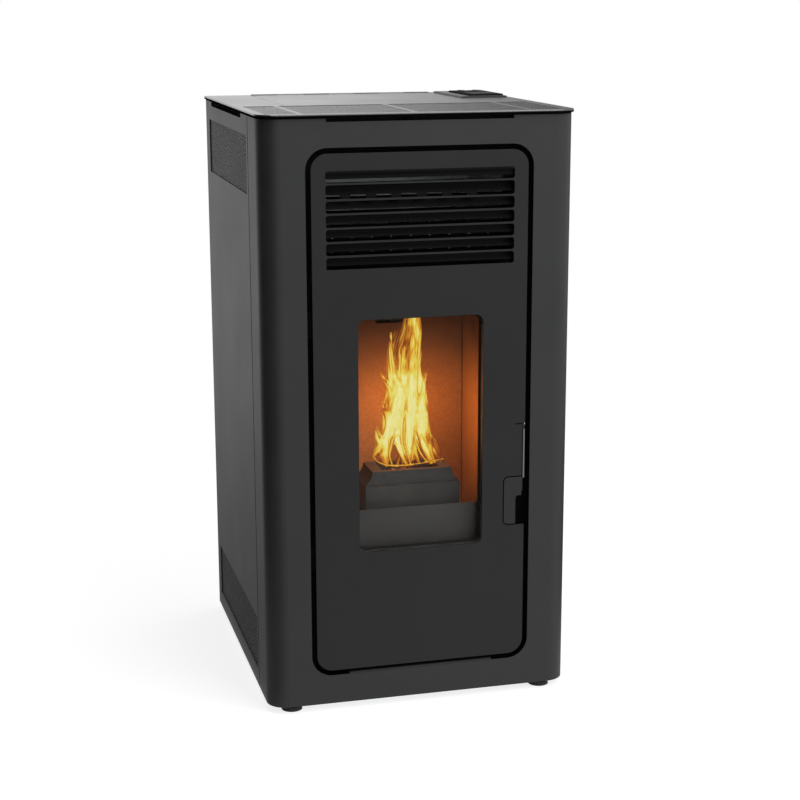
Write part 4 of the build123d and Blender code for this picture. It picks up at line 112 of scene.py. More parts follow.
class Finish:
    """The nodes of one material, or of the world. node() adds any node, and surface() the shader."""

    def __init__(self, name, store=bpy.data.materials):
        self.owner = store.new(name)
        self.owner.use_nodes = True
        self.tree = self.owner.node_tree
        self.tree.nodes.clear()

    def node(self, kind, settings=None, inputs=None, out=0):
        made = self.tree.nodes.new("ShaderNode" + kind)
        for name, setting in (settings or {}).items():
            if name == "stops":
                self.set_stops(made.color_ramp, setting)
            else:
                setattr(made, name, setting)
        for name, value in (inputs or {}).items():
            self.put(made.inputs[name], value)
        return Value(self, made.outputs[out] if made.outputs else None)

    def put(self, socket, value):
        if isinstance(value, Value):
            self.tree.links.new(value.socket, socket)
        elif isinstance(value, tuple) and socket.type == "RGBA" and len(value) == 3:
            socket.default_value = (*value, 1.0)
        else:
            socket.default_value = value

    @staticmethod
    def set_stops(ramp, stops):
        while len(ramp.elements) > 1:
            ramp.elements.remove(ramp.elements[-1])
        for index, (position, colour) in enumerate(stops):
            element = ramp.elements[0] if index == 0 else ramp.elements.new(position)
            element.position = position
            element.color = (*colour, 1.0)

    def spot(self):
        """The point on the piece, in metres, wherever the piece has moved to."""
        return self.node("TexCoord", out="Object")

    def scaled(self, vector, x, y, z):
        return self.node("VectorMath", {"operation": "MULTIPLY"}, {0: vector, 1: (x, y, z)})

    def stretched(self, x, y, z):
        return self.scaled(self.spot(), x, y, z)

    def noise(self, scale, detail=2.0, roughness=0.5, where=None, distortion=0.0):
        inputs = {"Vector": where or self.spot(), "Scale": scale, "Detail": detail,
                  "Roughness": roughness, "Distortion": distortion}
        return self.node("TexNoise", None, inputs, "Fac")

    def cells(self, scale, feature="F1", out="Distance"):
        inputs = {"Vector": self.spot(), "Scale": scale}
        return self.node("TexVoronoi", {"feature": feature}, inputs, out)

    def strands(self, scale, distortion, where=None):
        """Bands that run diagonally."""
        settings = {"wave_type": "BANDS", "bands_direction": "DIAGONAL"}
        inputs = {"Vector": where or self.spot(), "Scale": scale, "Distortion": distortion}
        return self.node("TexWave", settings, inputs, "Fac")

    def blend(self, share, low, high):
        """Colour between low and high; share is the part of high."""
        return self.node("Mix", {"data_type": "RGBA"}, {0: share, 6: low, 7: high}, 2)

    def ramp(self, position, *stops):
        return self.node("ValToRGB", {"stops": stops}, {"Fac": position}, "Color")

    def axis(self, name, where=None):
        return self.node("SeparateXYZ", None, {0: where or self.spot()}, name)

    def bump(self, height, strength, distance):
        inputs = {"Height": height, "Strength": strength, "Distance": distance}
        return self.node("Bump", None, inputs, "Normal")

    def looked_at(self):
        """1 for what the camera, a reflection or a clear piece shows, and 0 for what only gives light."""
        seen, glossy, through = (self.node("LightPath", out=ray) for ray in SHOWN_RAYS)
        return seen.maximum(glossy).maximum(through)

    def shader(self, **sockets):
        """Principled shader; a socket's spaces are written as underscores."""
        inputs = {name.replace("_", " "): value for name, value in sockets.items()}
        return self.node("BsdfPrincipled", None, inputs)

    def mixed(self, share, low, high):
        return self.node("MixShader", None, {0: share, 1: low, 2: high})

    def shown(self, shader):
        self.node("OutputMaterial", None, {"Surface": shader})
        return self.owner

    def surface(self, **sockets):
        return self.shown(self.shader(**sockets))


# ---------------------------------------------------------------- finishes

CASE_GREY = (0.0235, 0.0240, 0.0245)
SHEET_BLACK = (0.0120, 0.0122, 0.0126)

# Where one piece changes from one finish to another, or into painted shade, in metres.
SEAM_Y = -0.1843
SEAM_REACH = 0.0016
SHADE_EDGE = 0.0006
CASING_RIM_Z = 0.9446
PLATE_RIM_Z = 0.9494
BRICK_CORNER_X = 0.1240
BRICK_CORNER_Y = -0.0903
BRICK_DARKER_Z = (0.45, 0.62)
TUBE_SOOT_Y = -0.0640
TUBE_SOOT_EDGE = 0.006
GLASS_SOOT_X = (0.080, 0.112)
BOARD_FACE_X = -0.2302
LEVER_BARE_X = 0.1696
LEVER_BARE_FOOT = 0.3660
LEVER_BARE_TOP = 0.4470
PIVOT_HEAD_X = 0.1721
STEEL_EDGE = 0.0002
REVEAL_X = 0.1014
PANEL_BASE_Z = 0.9546
PANEL_EDGE = 0.0003


def stove_paint(name, colour, roughness, gloss, grain=0.10, cloud=0.12, shaded=None):
    """Baked heat-proof paint: fine orange-peel grain and faint clouding, with painted shade mixed in where
    shaded gives it.
    """
    paint = Finish(name)
    clouds = paint.noise(9.0, 3.0, 0.55)
    fine = paint.noise(1500.0, 2.0, 0.6)
    peel = paint.noise(420.0, 2.0, 0.5)
    dark = tuple(part * (1 - cloud) for part in colour)
    light = tuple(part * (1 + cloud) for part in colour)
    shade = paint.blend((clouds * 0.75 + fine * 0.25).step(0.3, 0.7), dark, light)
    rough = roughness + (clouds - 0.5) * 0.10 + (fine - 0.5) * 0.12
    normal = paint.bump(fine * 0.6 + peel * 0.4, grain, 0.0004)
    coated = paint.shader(Base_Color=shade, Roughness=rough, Specular_IOR_Level=gloss, Normal=normal)
    if shaded is None:
        return paint.shown(coated)
    # A near-black matt shader that stands in for shade: painted shade.
    painted_shade = paint.shader(Base_Color=(0.003, 0.003, 0.003), Roughness=0.9, Specular_IOR_Level=0.0)
    return paint.shown(paint.mixed(shaded(paint), coated, painted_shade))


def casing_painted_shade(paint):
    """Painted shade where the casing lies in shadow: at the upright seam and close under the plate."""
    seam = 1.0 - abs(paint.axis("Y") - SEAM_Y).beyond(SEAM_REACH, SHADE_EDGE)
    rim = paint.axis("Z").beyond(CASING_RIM_Z, SHADE_EDGE)
    return seam.maximum(rim)


def plate_edge_shade(paint):
    """Painted shade on the lower half of the plate's edge."""
    return 1.0 - paint.axis("Z").beyond(PLATE_RIM_Z, SHADE_EDGE)


def cast_iron(name, colour, heat):
    """Sand-cast iron: rough skin, small pits, and rust-brown stain that grows with heat."""
    iron = Finish(name)
    grit = iron.noise(650.0, 4.0, 0.65)
    pits = iron.cells(260.0)
    clouds = iron.noise(28.0, 4.0, 0.6)
    dark = tuple(part * 0.70 for part in colour)
    light = tuple(part * 1.30 for part in colour)
    shade = iron.blend((grit * 0.5 + clouds * 0.5).step(0.3, 0.7), dark, light)
    stain = (colour[0] * 1.9, colour[1] * 1.15, colour[2] * 0.65)
    shade = iron.blend(clouds.step(0.42, 0.75) * heat, shade, stain)
    rough = 0.62 + (grit - 0.5) * 0.3
    normal = iron.bump(grit * 0.7 + pits.step(0.0, 0.35) * 0.3, 0.35, 0.0006)
    return iron.surface(Base_Color=shade, Roughness=rough, Specular_IOR_Level=0.3, Normal=normal)


def pressed_brick(name):
    """Pressed vermiculite: gold-brown flakes in a binder, darker high up, with faint dark clouds, and painted
    shade where two bricks meet.
    """
    brick = Finish(name)
    flakes = brick.cells(620.0, out="Color")
    flake = brick.node("SeparateColor", None, {0: flakes}, "Red")
    fine = brick.noise(900.0, 3.0, 0.7)
    clouds = brick.noise(22.0, 3.0, 0.55)
    shade = brick.ramp(flake * 0.45 + fine * 0.55, (0.20, (0.25, 0.150, 0.065)),
                       (0.50, (0.31, 0.190, 0.080)), (0.80, (0.38, 0.240, 0.110)))
    # Painted shade in the corner where the back brick meets the side bricks.
    corner = abs(brick.axis("X")).step(BRICK_CORNER_X - 0.0025, BRICK_CORNER_X)
    corner = corner * brick.axis("Y").step(BRICK_CORNER_Y - 0.003, BRICK_CORNER_Y)
    # Darker towards the top, faint dark clouds, and the corner's painted shade, all mixed towards near black.
    soot = brick.axis("Z").step(*BRICK_DARKER_Z) * 0.93 + clouds.step(0.45, 0.8) * 0.12 + corner * 0.75
    shade = brick.blend(soot.clipped(), shade, (0.040, 0.026, 0.016))
    rough = 0.88 + (fine - 0.5) * 0.1
    normal = brick.bump(flake * 0.5 + fine * 0.5, 0.30, 0.0005)
    return brick.surface(Base_Color=shade, Roughness=rough, Specular_IOR_Level=0.15, Normal=normal)


def brushed_metal(name, colour, grain_along="Z", roughness=0.34, stain=0.0):
    """Ground or drawn bright steel: long fine lines along one axis."""
    metal = Finish(name)
    rates = {"X": (20.0, 900.0, 900.0), "Y": (900.0, 20.0, 900.0), "Z": (900.0, 900.0, 20.0)}
    lines = metal.noise(1.0, 3.0, 0.6, metal.stretched(*rates[grain_along]))
    clouds = metal.noise(30.0, 3.0, 0.5)
    dark = tuple(part * 0.82 for part in colour)
    shade = metal.blend(lines, dark, colour)
    if stain:
        shade = metal.blend(clouds.step(0.45, 0.8) * stain, shade, (0.16, 0.10, 0.06))
    rough = roughness + (lines - 0.5) * 0.25 + (clouds - 0.5) * 0.12
    normal = metal.bump(lines, 0.12, 0.0003)
    return metal.surface(Base_Color=shade, Metallic=1.0, Roughness=rough, Normal=normal)


def zinc_plate(name, sooty=False):
    """Galvanised sheet with its crystal spangle, black with soot where it reaches into the fire."""
    zinc = Finish(name)
    crystals = zinc.cells(110.0, out="Color")
    tone = zinc.node("SeparateColor", None, {0: crystals}, "Green")
    feather = zinc.noise(1.0, 3.0, 0.6, zinc.stretched(160.0, 160.0, 60.0))
    fine = zinc.noise(700.0, 2.0, 0.5)
    mark = tone * 0.7 + feather * 0.3
    shade = zinc.ramp(mark, (0.1, (0.40, 0.42, 0.44)), (0.6, (0.46, 0.48, 0.50)), (1.0, (0.53, 0.55, 0.57)))
    if sooty:
        clean = zinc.axis("Y").beyond(TUBE_SOOT_Y, TUBE_SOOT_EDGE)
        shade = zinc.blend(1.0 - clean, shade, (0.030, 0.017, 0.010))
    rough = 0.30 + mark * 0.22 + (fine - 0.5) * 0.1
    normal = zinc.bump(mark * 0.6 + fine * 0.4, 0.10, 0.0004)
    return zinc.surface(Base_Color=shade, Metallic=0.85, Roughness=rough, Normal=normal)


def blasted_alloy(name, colour):
    """Bead-blasted light alloy with a fine grit."""
    alloy = Finish(name)
    grit = alloy.noise(800.0, 3.0, 0.6)
    clouds = alloy.noise(25.0, 2.0, 0.5)
    shade = alloy.blend(grit * 0.6 + clouds * 0.4, tuple(part * 0.8 for part in colour), colour)
    normal = alloy.bump(grit, 0.25, 0.0004)
    rough = 0.42 + (grit - 0.5) * 0.25
    return alloy.surface(Base_Color=shade, Metallic=0.9, Roughness=rough, Normal=normal)


def braided_rope(name, tone=1.0):
    """Glass-fibre rope: crossing strands that wind round the seal."""
    rope = Finish(name)
    one = rope.strands(190.0, 1.2)
    other = rope.strands(190.0, 1.2, rope.stretched(-1.0, 1.0, 1.0))
    fibre = rope.noise(1600.0, 2.0, 0.6)
    weave = one.maximum(other)
    shade = rope.ramp(weave * 0.7 + fibre * 0.3, (0.2, (0.035 * tone, 0.034 * tone, 0.033 * tone)),
                      (0.6, (0.11 * tone, 0.108 * tone, 0.105 * tone)),
                      (1.0, (0.19 * tone, 0.185 * tone, 0.18 * tone)))
    rough = 0.92 - fibre * 0.05
    normal = rope.bump(weave * 0.8 + fibre * 0.2, 0.8, 0.0012)
    return rope.surface(Base_Color=shade, Roughness=rough, Specular_IOR_Level=0.15, Normal=normal)


def fire_glass(name):
    """Heat-proof glass, almost clear, with a little haze and soot along its upright edges."""
    glass = Finish(name)
    haze = glass.noise(14.0, 3.0, 0.55)
    soot = abs(glass.axis("X")).step(*GLASS_SOOT_X) * haze.step(0.35, 0.8)
    alpha = 0.035 + haze * 0.02 + soot * 0.10
    rough = 0.05 + haze * 0.05
    return glass.surface(Base_Color=(0.10, 0.085, 0.07), Roughness=rough, Alpha=alpha,
                         IOR=1.47, Specular_IOR_Level=0.5)


def moulded_plastic(name, colour, roughness, gloss):
    """Injection-moulded plastic with a fine spark-eroded texture."""
    plastic = Finish(name)
    grain = plastic.noise(1900.0, 2.0, 0.55)
    clouds = plastic.noise(16.0, 2.0, 0.5)
    shade = plastic.blend(grain * 0.4 + clouds * 0.6, tuple(part * 0.88 for part in colour),
                          tuple(part * 1.12 for part in colour))
    rough = roughness + (grain - 0.5) * 0.10 + (clouds - 0.5) * 0.06
    normal = plastic.bump(grain, 0.10, 0.0002)
    return plastic.surface(Base_Color=shade, Roughness=rough, Specular_IOR_Level=gloss, Normal=normal)


def circuit_board(name):
    """Solder mask with faint tracks on the board, and dark or pale parts standing on it."""
    board = Finish(name)
    tracks = board.cells(240.0, feature="DISTANCE_TO_EDGE")
    mask = board.blend(tracks.step(0.02, 0.06), (0.06, 0.22, 0.09), (0.012, 0.085, 0.035))
    standing = board.axis("X").beyond(BOARD_FACE_X)
    kind = board.node("SeparateColor", None, {0: board.cells(28.0, out="Color")}, "Blue")
    parts = board.ramp(kind, (0.30, (0.015, 0.015, 0.017)), (0.55, (0.05, 0.06, 0.09)),
                       (0.9, (0.30, 0.28, 0.24)))
    shade = board.blend(standing, mask, parts)
    rough = 0.38 + tracks.step(0.0, 0.2) * 0.1
    normal = board.bump(tracks.step(0.0, 0.08), 0.2, 0.0002)
    return board.surface(Base_Color=shade, Roughness=rough, Normal=normal)


def display_glass(name):
    """Smoked display window: near black, with a faint fine mottle."""
    window = Finish(name)
    fine = window.noise(300.0, 2.0, 0.5)
    shade = window.blend(fine, (0.006, 0.007, 0.008), (0.010, 0.012, 0.013))
    return window.surface(Base_Color=shade, Roughness=0.35 + fine * 0.06, Specular_IOR_Level=0.05)


def handle_finish(name):
    """Painted flap and lever; a stretch of the lever's front edge below its pivot end is bare ground steel.
    """
    part = Finish(name)
    fine = part.noise(1500.0, 2.0, 0.6)
    lines = part.noise(1.0, 3.0, 0.6, part.stretched(900.0, 900.0, 20.0))
    peel = part.bump(fine, 0.1, 0.0004)
    paint = part.shader(Base_Color=part.blend(fine, (0.0135, 0.0137, 0.0142), (0.0165, 0.0167, 0.0174)),
                        Roughness=0.46 + (fine - 0.5) * 0.12, Specular_IOR_Level=0.30, Normal=peel)
    steel = part.shader(Base_Color=part.blend(lines, (0.13, 0.13, 0.135), (0.19, 0.19, 0.195)), Metallic=1.0,
                        Roughness=0.40 + (lines - 0.5) * 0.2, Normal=part.bump(lines, 0.12, 0.0003))
    height = part.axis("Z")
    bare = part.axis("X").beyond(LEVER_BARE_X, STEEL_EDGE) * height.beyond(LEVER_BARE_FOOT)
    bare = bare * (1.0 - height.beyond(LEVER_BARE_TOP))
    return part.shown(part.mixed(bare, paint, steel))


def pivot_finish(name):
    """Black block and pin with a bare turned head."""
    pivot = Finish(name)
    rings = pivot.noise(900.0, 2.0, 0.6)
    black = pivot.shader(Base_Color=pivot.blend(rings, (0.007, 0.007, 0.008), (0.012, 0.012, 0.013)),
                         Roughness=0.60 + (rings - 0.5) * 0.1, Specular_IOR_Level=0.2)
    bright = pivot.shader(Base_Color=pivot.blend(rings, (0.50, 0.50, 0.51), (0.60, 0.60, 0.61)), Metallic=1.0,
                          Roughness=0.34 + (rings - 0.5) * 0.2)
    return pivot.shown(pivot.mixed(pivot.axis("X").beyond(PIVOT_HEAD_X, STEEL_EDGE), black, bright))


def frame_finish(name):
    """Black casting whose machined window reveal mirrors the fire."""
    casting = Finish(name)
    grit = casting.noise(650.0, 4.0, 0.65)
    clouds = casting.noise(28.0, 4.0, 0.6)
    skin = casting.blend((grit * 0.5 + clouds * 0.5).step(0.3, 0.7), (0.005, 0.005, 0.005),
                         (0.010, 0.010, 0.010))
    rough = casting.shader(Base_Color=skin, Roughness=0.62 + (grit - 0.5) * 0.3, Specular_IOR_Level=0.15,
                           Normal=casting.bump(grit, 0.35, 0.0006))
    ground = casting.shader(Base_Color=casting.blend(grit, (0.50, 0.49, 0.48), (0.62, 0.61, 0.60)),
                            Metallic=1.0, Roughness=0.30 + (clouds - 0.5) * 0.12)
    reveal = 1.0 - abs(casting.axis("X")).beyond(REVEAL_X)
    return casting.shown(casting.mixed(reveal, rough, ground))


def panel_finish(name):
    """Glossy base plate with a matt slab standing on it."""
    panel = Finish(name)
    grain = panel.noise(1900.0, 2.0, 0.55)
    clouds = panel.noise(16.0, 2.0, 0.5)
    shade = panel.blend(grain * 0.4 + clouds * 0.6, (0.026, 0.027, 0.029), (0.033, 0.034, 0.037))
    base = panel.shader(Base_Color=shade, Roughness=0.30 + (grain - 0.5) * 0.1, Specular_IOR_Level=0.45,
                        Normal=panel.bump(grain, 0.05, 0.0002))
    dark = panel.blend(grain, (0.008, 0.008, 0.009), (0.013, 0.013, 0.014))
    slab = panel.shader(Base_Color=dark, Roughness=0.80 + (grain - 0.5) * 0.1, Specular_IOR_Level=0.03,
                        Normal=panel.bump(grain, 0.2, 0.0002))
    return panel.shown(panel.mixed(panel.axis("Z").beyond(PANEL_BASE_Z, PANEL_EDGE), base, slab))


def rubber_pad(name):
    """Dull black rubber of the feet."""
    pad = Finish(name)
    grain = pad.noise(1200.0, 3.0, 0.6)
    shade = pad.blend(grain, (0.010, 0.010, 0.010), (0.022, 0.022, 0.023))
    return pad.surface(Base_Color=shade, Roughness=0.7 + (grain - 0.5) * 0.2,
                       Normal=pad.bump(grain, 0.3, 0.0003))


# The finish of each material slot, and below it those of single nodes that need one of their own.
FINISHES = {
    "case_paint": stove_paint("case_paint", CASE_GREY, roughness=0.50, gloss=0.34),
    "door_paint": stove_paint("door_paint", SHEET_BLACK, roughness=0.46, gloss=0.26),
    "black_sheet": stove_paint("black_sheet", SHEET_BLACK, roughness=0.60, gloss=0.25),
    # Black paint made darker than the black sheet: painted shade for what shows through the gaps round the
    # door.
    "bulkhead_paint": stove_paint("bulkhead_paint", (0.006, 0.006, 0.006), roughness=0.66, gloss=0.15,
                                  grain=0.2, cloud=0.2),
    "cast_grey": cast_iron("cast_grey", (0.045, 0.046, 0.045), heat=0.35),
    "firebox_steel": stove_paint("firebox_steel", (0.025, 0.024, 0.024), roughness=0.65, gloss=0.25,
                                 grain=0.2, cloud=0.25),
    "firebrick": pressed_brick("firebrick"),
    "rope": braided_rope("rope"),
    "ceramic_glass": fire_glass("ceramic_glass"),
    "bright_steel": brushed_metal("bright_steel", (0.56, 0.56, 0.57)),
    "zinc_sheet": zinc_plate("zinc_sheet"),
    "motor_body": stove_paint("motor_body", (0.085, 0.090, 0.095), roughness=0.42, gloss=0.4),
    "fan_wheel": brushed_metal("fan_wheel", (0.62, 0.63, 0.64), grain_along="X", roughness=0.38),
    "fin_block": blasted_alloy("fin_block", (0.52, 0.52, 0.53)),
    "pipe_black": stove_paint("pipe_black", (0.016, 0.016, 0.016), roughness=0.60, gloss=0.25, grain=0.2),
    "foot_black": rubber_pad("foot_black"),
    "display_plastic": display_glass("display_plastic"),
    "button_plastic": moulded_plastic("button_plastic", (0.040, 0.041, 0.044), roughness=0.60, gloss=0.2),
    "board_green": circuit_board("board_green"),
    "inlet_plastic": moulded_plastic("inlet_plastic", (0.013, 0.013, 0.014), roughness=0.42, gloss=0.5),
}
# Casing paint with painted shade at the upright seam and close under the plate.
CASING_WITH_SHADE = stove_paint("casing_paint_and_shade", CASE_GREY, roughness=0.50, gloss=0.34, shaded=casing_painted_shade)
OWN_FINISHES = {
    # The plate's paint, with painted shade on the lower half of its edge.
    "top_plate": stove_paint("top_plate_paint_and_shade", CASE_GREY, roughness=0.22, gloss=1.0, grain=0.05,
                             shaded=plate_edge_shade),
    "hopper_lid": stove_paint("hopper_lid_paint", CASE_GREY, roughness=0.22, gloss=1.0, grain=0.05),
    "front_surround": CASING_WITH_SHADE,
    "left_side_panel": CASING_WITH_SHADE,
    "right_side_panel": CASING_WITH_SHADE,
    "auger_tube": zinc_plate("tube_zinc", sooty=True),
    "louvre_blades": stove_paint("louvre_paint", (0.0040, 0.0040, 0.0042), roughness=0.60, gloss=0.08),
    "handle_lever": handle_finish("handle_finish"),
    "handle_pivot": pivot_finish("pivot_finish"),
    "door_frame": frame_finish("frame_finish"),
    "control_panel": panel_finish("panel_finish"),
    "glass_gasket": braided_rope("gasket_braid", tone=0.12),
    "ash_guard": stove_paint("guard_paint", (0.058, 0.058, 0.056), roughness=0.60, gloss=0.25,
                             grain=0.2, cloud=0.2),
    "igniter": brushed_metal("igniter_steel", (0.42, 0.38, 0.34), grain_along="Y", roughness=0.4, stain=0.6),
    "ash_pan": stove_paint("ash_pan_paint", (0.030, 0.029, 0.028), roughness=0.6, gloss=0.3,
                           grain=0.2, cloud=0.3),
}

for entry in frame["record"]["subparts"]:
    finish = OWN_FINISHES.get(entry["node"]) or FINISHES[entry["material_slot"]]
    solid = nodes[entry["node"]].data
    solid.materials.clear()
    solid.materials.append(finish)


# ---------------------------------------------------------------- mesh building

def linked_mesh(name, corners, faces, finish, smooth):
    """One mesh from corners in metres and faces of corner numbers."""
    mesh = bpy.data.meshes.new(name)
    mesh.from_pydata(corners, [], faces)
    mesh.materials.append(finish)
    for face in mesh.polygons:
        face.use_smooth = smooth
    piece = bpy.data.objects.new(name, mesh)
    bpy.context.collection.objects.link(piece)
    return piece


def make_piece(name, corners, faces, finish, smooth=True):
    """A piece of the stove itself."""
    piece = linked_mesh(name, corners, faces, finish, smooth)
    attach(piece, "stove")
    return piece


PUNCH_PITCH = 6.0
ROW_STEP = PUNCH_PITCH * math.sqrt(3) / 2
CELL_REACH = PUNCH_PITCH / math.sqrt(3)
CELL_SIDES = 6


def punched_sheet(across, up, hole, thickness, to_point, corners, faces):
    """Sheet with staggered six-sided holes of the radius hole. across and up are (low, high) spans,
    and to_point turns (across, up, depth) into a place. Its cells are hexagons, so its rows interlock."""
    columns = int((across[1] - across[0]) / PUNCH_PITCH)
    rows = int((up[1] - up[0]) / ROW_STEP)
    edge_x = (across[1] - across[0] - (columns - 0.5) * PUNCH_PITCH) / 2
    edge_y = (up[1] - up[0] - (rows - 1) * ROW_STEP) / 2
    shared = {}

    def corner(x, y, depth):
        key = (round(x, 2), round(y, 2), depth)
        if key not in shared:
            shared[key] = len(corners)
            corners.append(to_point(x, y, depth))
        return shared[key]

    for row in range(rows):
        for column in range(columns):
            x = across[0] + edge_x + (column + 0.5 * (row % 2)) * PUNCH_PITCH
            y = up[0] + edge_y + row * ROW_STEP
            outer, front, back = [], [], []
            for turn in range(CELL_SIDES):
                angle = math.radians(30 + 60 * turn)
                ahead, aside = math.cos(angle), math.sin(angle)
                outer.append(corner(x + CELL_REACH * ahead, y + CELL_REACH * aside, 0.0))
                front.append(len(corners))
                corners.append(to_point(x + hole * ahead, y + hole * aside, 0.0))
                back.append(len(corners))
                corners.append(to_point(x + hole * ahead, y + hole * aside, thickness))
            for turn in range(CELL_SIDES):
                after = (turn + 1) % CELL_SIDES
                faces.append((outer[turn], outer[after], front[after], front[turn]))
                faces.append((front[turn], front[after], back[after], back[turn]))


MESH_HOLE = 2.25
MESH_SHEET = 1.2
MESH_FACE_X = 248.0
# The span of each mesh along the side, and its span up.
MESH_SPANS = (((107.0, 498.0), (806.0, 907.0)), ((103.0, 505.0), (23.0, 124.0)))


def side_mesh_sheets():
    """Four punched sheets behind the openings of the side panels."""
    corners = []
    faces = []
    for side in (-1, 1):
        def standing(up, along, depth, side=side):
            return place(side * (MESH_FACE_X - depth), along, up)

        for along, up in MESH_SPANS:
            punched_sheet(up, along, MESH_HOLE, MESH_SHEET, standing, corners, faces)
    sheets = make_piece("side_mesh_sheets", corners, faces, FINISHES["case_paint"], smooth=False)
    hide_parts("side_meshes")


GRILLE_SPANS = ((-240.0, -190.0), (-183.0, -12.0), (-5.0, 172.0), (180.0, 231.0))
GRILLE_Y = (8.0, 203.0)
GRILLE_TOP = 939.5
GRILLE_HOLE = 2.15
GRILLE_SHEET = 1.5
GRILLE_GAP = 0.3
GRILLE_RIM = 3.0
GRILLE_RIM_RISE = 0.1


def span_corners(x, y, inset):
    """The corners of a level rectangle drawn in by inset, in order round it."""
    left, right = x[0] + inset, x[1] - inset
    front, rear = y[0] + inset, y[1] - inset
    return (left, front), (right, front), (right, rear), (left, rear)


def top_grille_sheets():
    """Four punched grilles let into the top plate."""
    corners = []
    faces = []

    def lying(x, y, depth):
        return place(x, y, GRILLE_TOP - depth)

    for span in GRILLE_SPANS:
        punched_sheet(span, GRILLE_Y, GRILLE_HOLE, GRILLE_SHEET, lying, corners, faces)
        outer = span_corners(span, GRILLE_Y, GRILLE_GAP)
        inner = span_corners(span, GRILLE_Y, GRILLE_RIM)
        first = len(corners)
        corners += [place(x, y, GRILLE_TOP + GRILLE_RIM_RISE) for x, y in outer + inner]
        corners += [place(x, y, GRILLE_TOP - GRILLE_SHEET) for x, y in outer]
        for index in range(4):
            after = (index + 1) % 4
            faces.append((first + index, first + after, first + 4 + after, first + 4 + index))
            faces.append((first + 8 + index, first + 8 + after, first + after, first + index))
    grilles = make_piece("top_grille_sheets", corners, faces, OWN_FINISHES["top_plate"], smooth=False)
    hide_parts("top_grilles")


side_mesh_sheets()
top_grille_sheets()


# ---------------------------------------------------------------- fire

# Heights over which the flame's colour changes at its root and at its tip.
FLAME_ROOT = (368.0, 425.0)
FLAME_TIP = (470.0, 620.0)


def flame_finish(name, cover):
    """Burning gas: pale core, orange edges, fine streaks that follow the tongues."""
    flame = Finish(name)
    density = flame.node("Attribute", {"attribute_name": "gas"}, out="Fac")
    flow = flame.node("Attribute", {"attribute_name": "flow"}, out="Vector")
    height = flame.axis("Z", flow)
    core = flame.node("Attribute", {"attribute_name": "core"}, out="Fac")
    streaks = flame.noise(1.0, 4.0, 0.62, flame.scaled(flow, 0.14, 1.0, 0.014), 0.6)
    threads = flame.noise(1.0, 3.0, 0.6, flame.scaled(flow, 0.50, 1.0, 0.026), 0.3)
    ragged = (streaks - 0.5) * 1.6 + (threads - 0.5) * 0.8
    gas = density + ragged * (1.08 - density)
    alpha = (gas.step(0.04, 0.80) * cover).clipped()
    base = 1.0 - height.step(*FLAME_ROOT)
    heat = density * 0.20 + core * 0.50 + (streaks - 0.5) * 2.0 + (threads - 0.5) * 1.1 - base * 0.32
    heat = heat + 0.03 - height.step(*FLAME_TIP) * 0.12
    colour = flame.ramp(heat, (0.0, (0.16, 0.028, 0.006)), (0.16, (0.42, 0.100, 0.010)),
                        (0.34, (0.68, 0.270, 0.022)), (0.50, (0.79, 0.520, 0.050)),
                        (0.68, (0.84, 0.730, 0.150)), (0.86, (0.88, 0.820, 0.340)))
    return flame.surface(Base_Color=(0.0, 0.0, 0.0), Roughness=1.0, Specular_IOR_Level=0.0, Alpha=alpha,
                         Emission_Color=colour, Emission_Strength=1.0)


# Tongues of flame: (x, height, half width) from the foot to the tip.
BODY_TONGUES = {
    "left_column": ((-36, 368, 4), (-34, 400, 9), (-28, 440, 14), (-23, 480, 13), (-25, 515, 8),
                    (-28, 550, 4), (-27, 586, 1)),
    "second_strand": ((-3, 368, 3), (-15, 400, 6), (-20, 442, 11), (-16, 485, 12), (-10, 530, 8),
                      (-6, 562, 2)),
    "spire": ((5, 378, 7), (5, 415, 13), (1, 457, 19), (3, 497, 19), (8, 530, 14), (13, 565, 11),
              (14, 600, 9), (11, 634, 6)),
    "third_strand": ((19, 368, 2), (9, 399, 5), (5, 437, 10), (8, 480, 14), (11, 522, 9), (14, 555, 2)),
    "right_strand": ((45, 368, 3), (26, 404, 8), (18, 441, 12), (17, 483, 13), (13, 522, 8), (11, 552, 1)),
    "right_veil": ((39, 368, 5), (30, 412, 9), (26, 464, 9), (25, 504, 2)),
}
THIN_TONGUES = {
    "middle_veil": ((-4, 368, 20), (2, 400, 24), (5, 430, 24), (5, 450, 10)),
    "haze": ((-8, 490, 26), (-10, 530, 25), (-8, 560, 19), (2, 590, 12), (8, 624, 5)),
    "left_wisp": ((-24, 470, 5), (-33, 500, 3.5), (-45, 524, 2), (-53, 546, 0.6)),
    "right_wisp": ((20, 462, 7), (27, 490, 4), (32, 512, 2), (35, 524, 0.6)),
    "inner_wisp": ((20, 484, 6), (26, 503, 3), (31, 524, 0.6)),
    "side_lick": ((24, 412, 6), (30, 438, 3), (32, 458, 0.6)),
    "right_bulb": ((57, 367, 3), (51, 381, 8), (43, 396, 9), (37, 412, 4), (34, 430, 0.6)),
    "low_left_lick": ((-40, 374, 5), (-43, 396, 7), (-48, 418, 4), (-51, 433, 0.6)),
    "high_left_lick": ((-28, 424, 8), (-35, 446, 7), (-39, 461, 3), (-42, 474, 0.6)),
    "left_fan": ((-55, 380, 4), (-43, 402, 7), (-31, 436, 7), (-24, 470, 2)),
}
FRONT_TONGUES = {
    "left_thread": ((-31, 374, 1.6), (-35, 390, 2), (-29, 415, 2), (-25, 432, 0.6)),
    "middle_thread": ((0, 372, 1.6), (-7, 396, 2), (-11, 416, 2), (-9, 436, 0.6)),
    "right_thread": ((28, 373, 1.6), (16, 390, 2), (8, 414, 2), (6, 432, 0.6)),
    "skirt": ((-61, 388, 0.8), (-52, 378, 1.4), (-30, 371, 1.6), (8, 371, 1.3), (42, 375, 1.1),
              (57, 377, 0.6)),
}
THIN_SHARE = 0.55
FRONT_SHARE = 0.9
FRONT_COVER = 0.9
THINNEST_TONGUE = 0.5
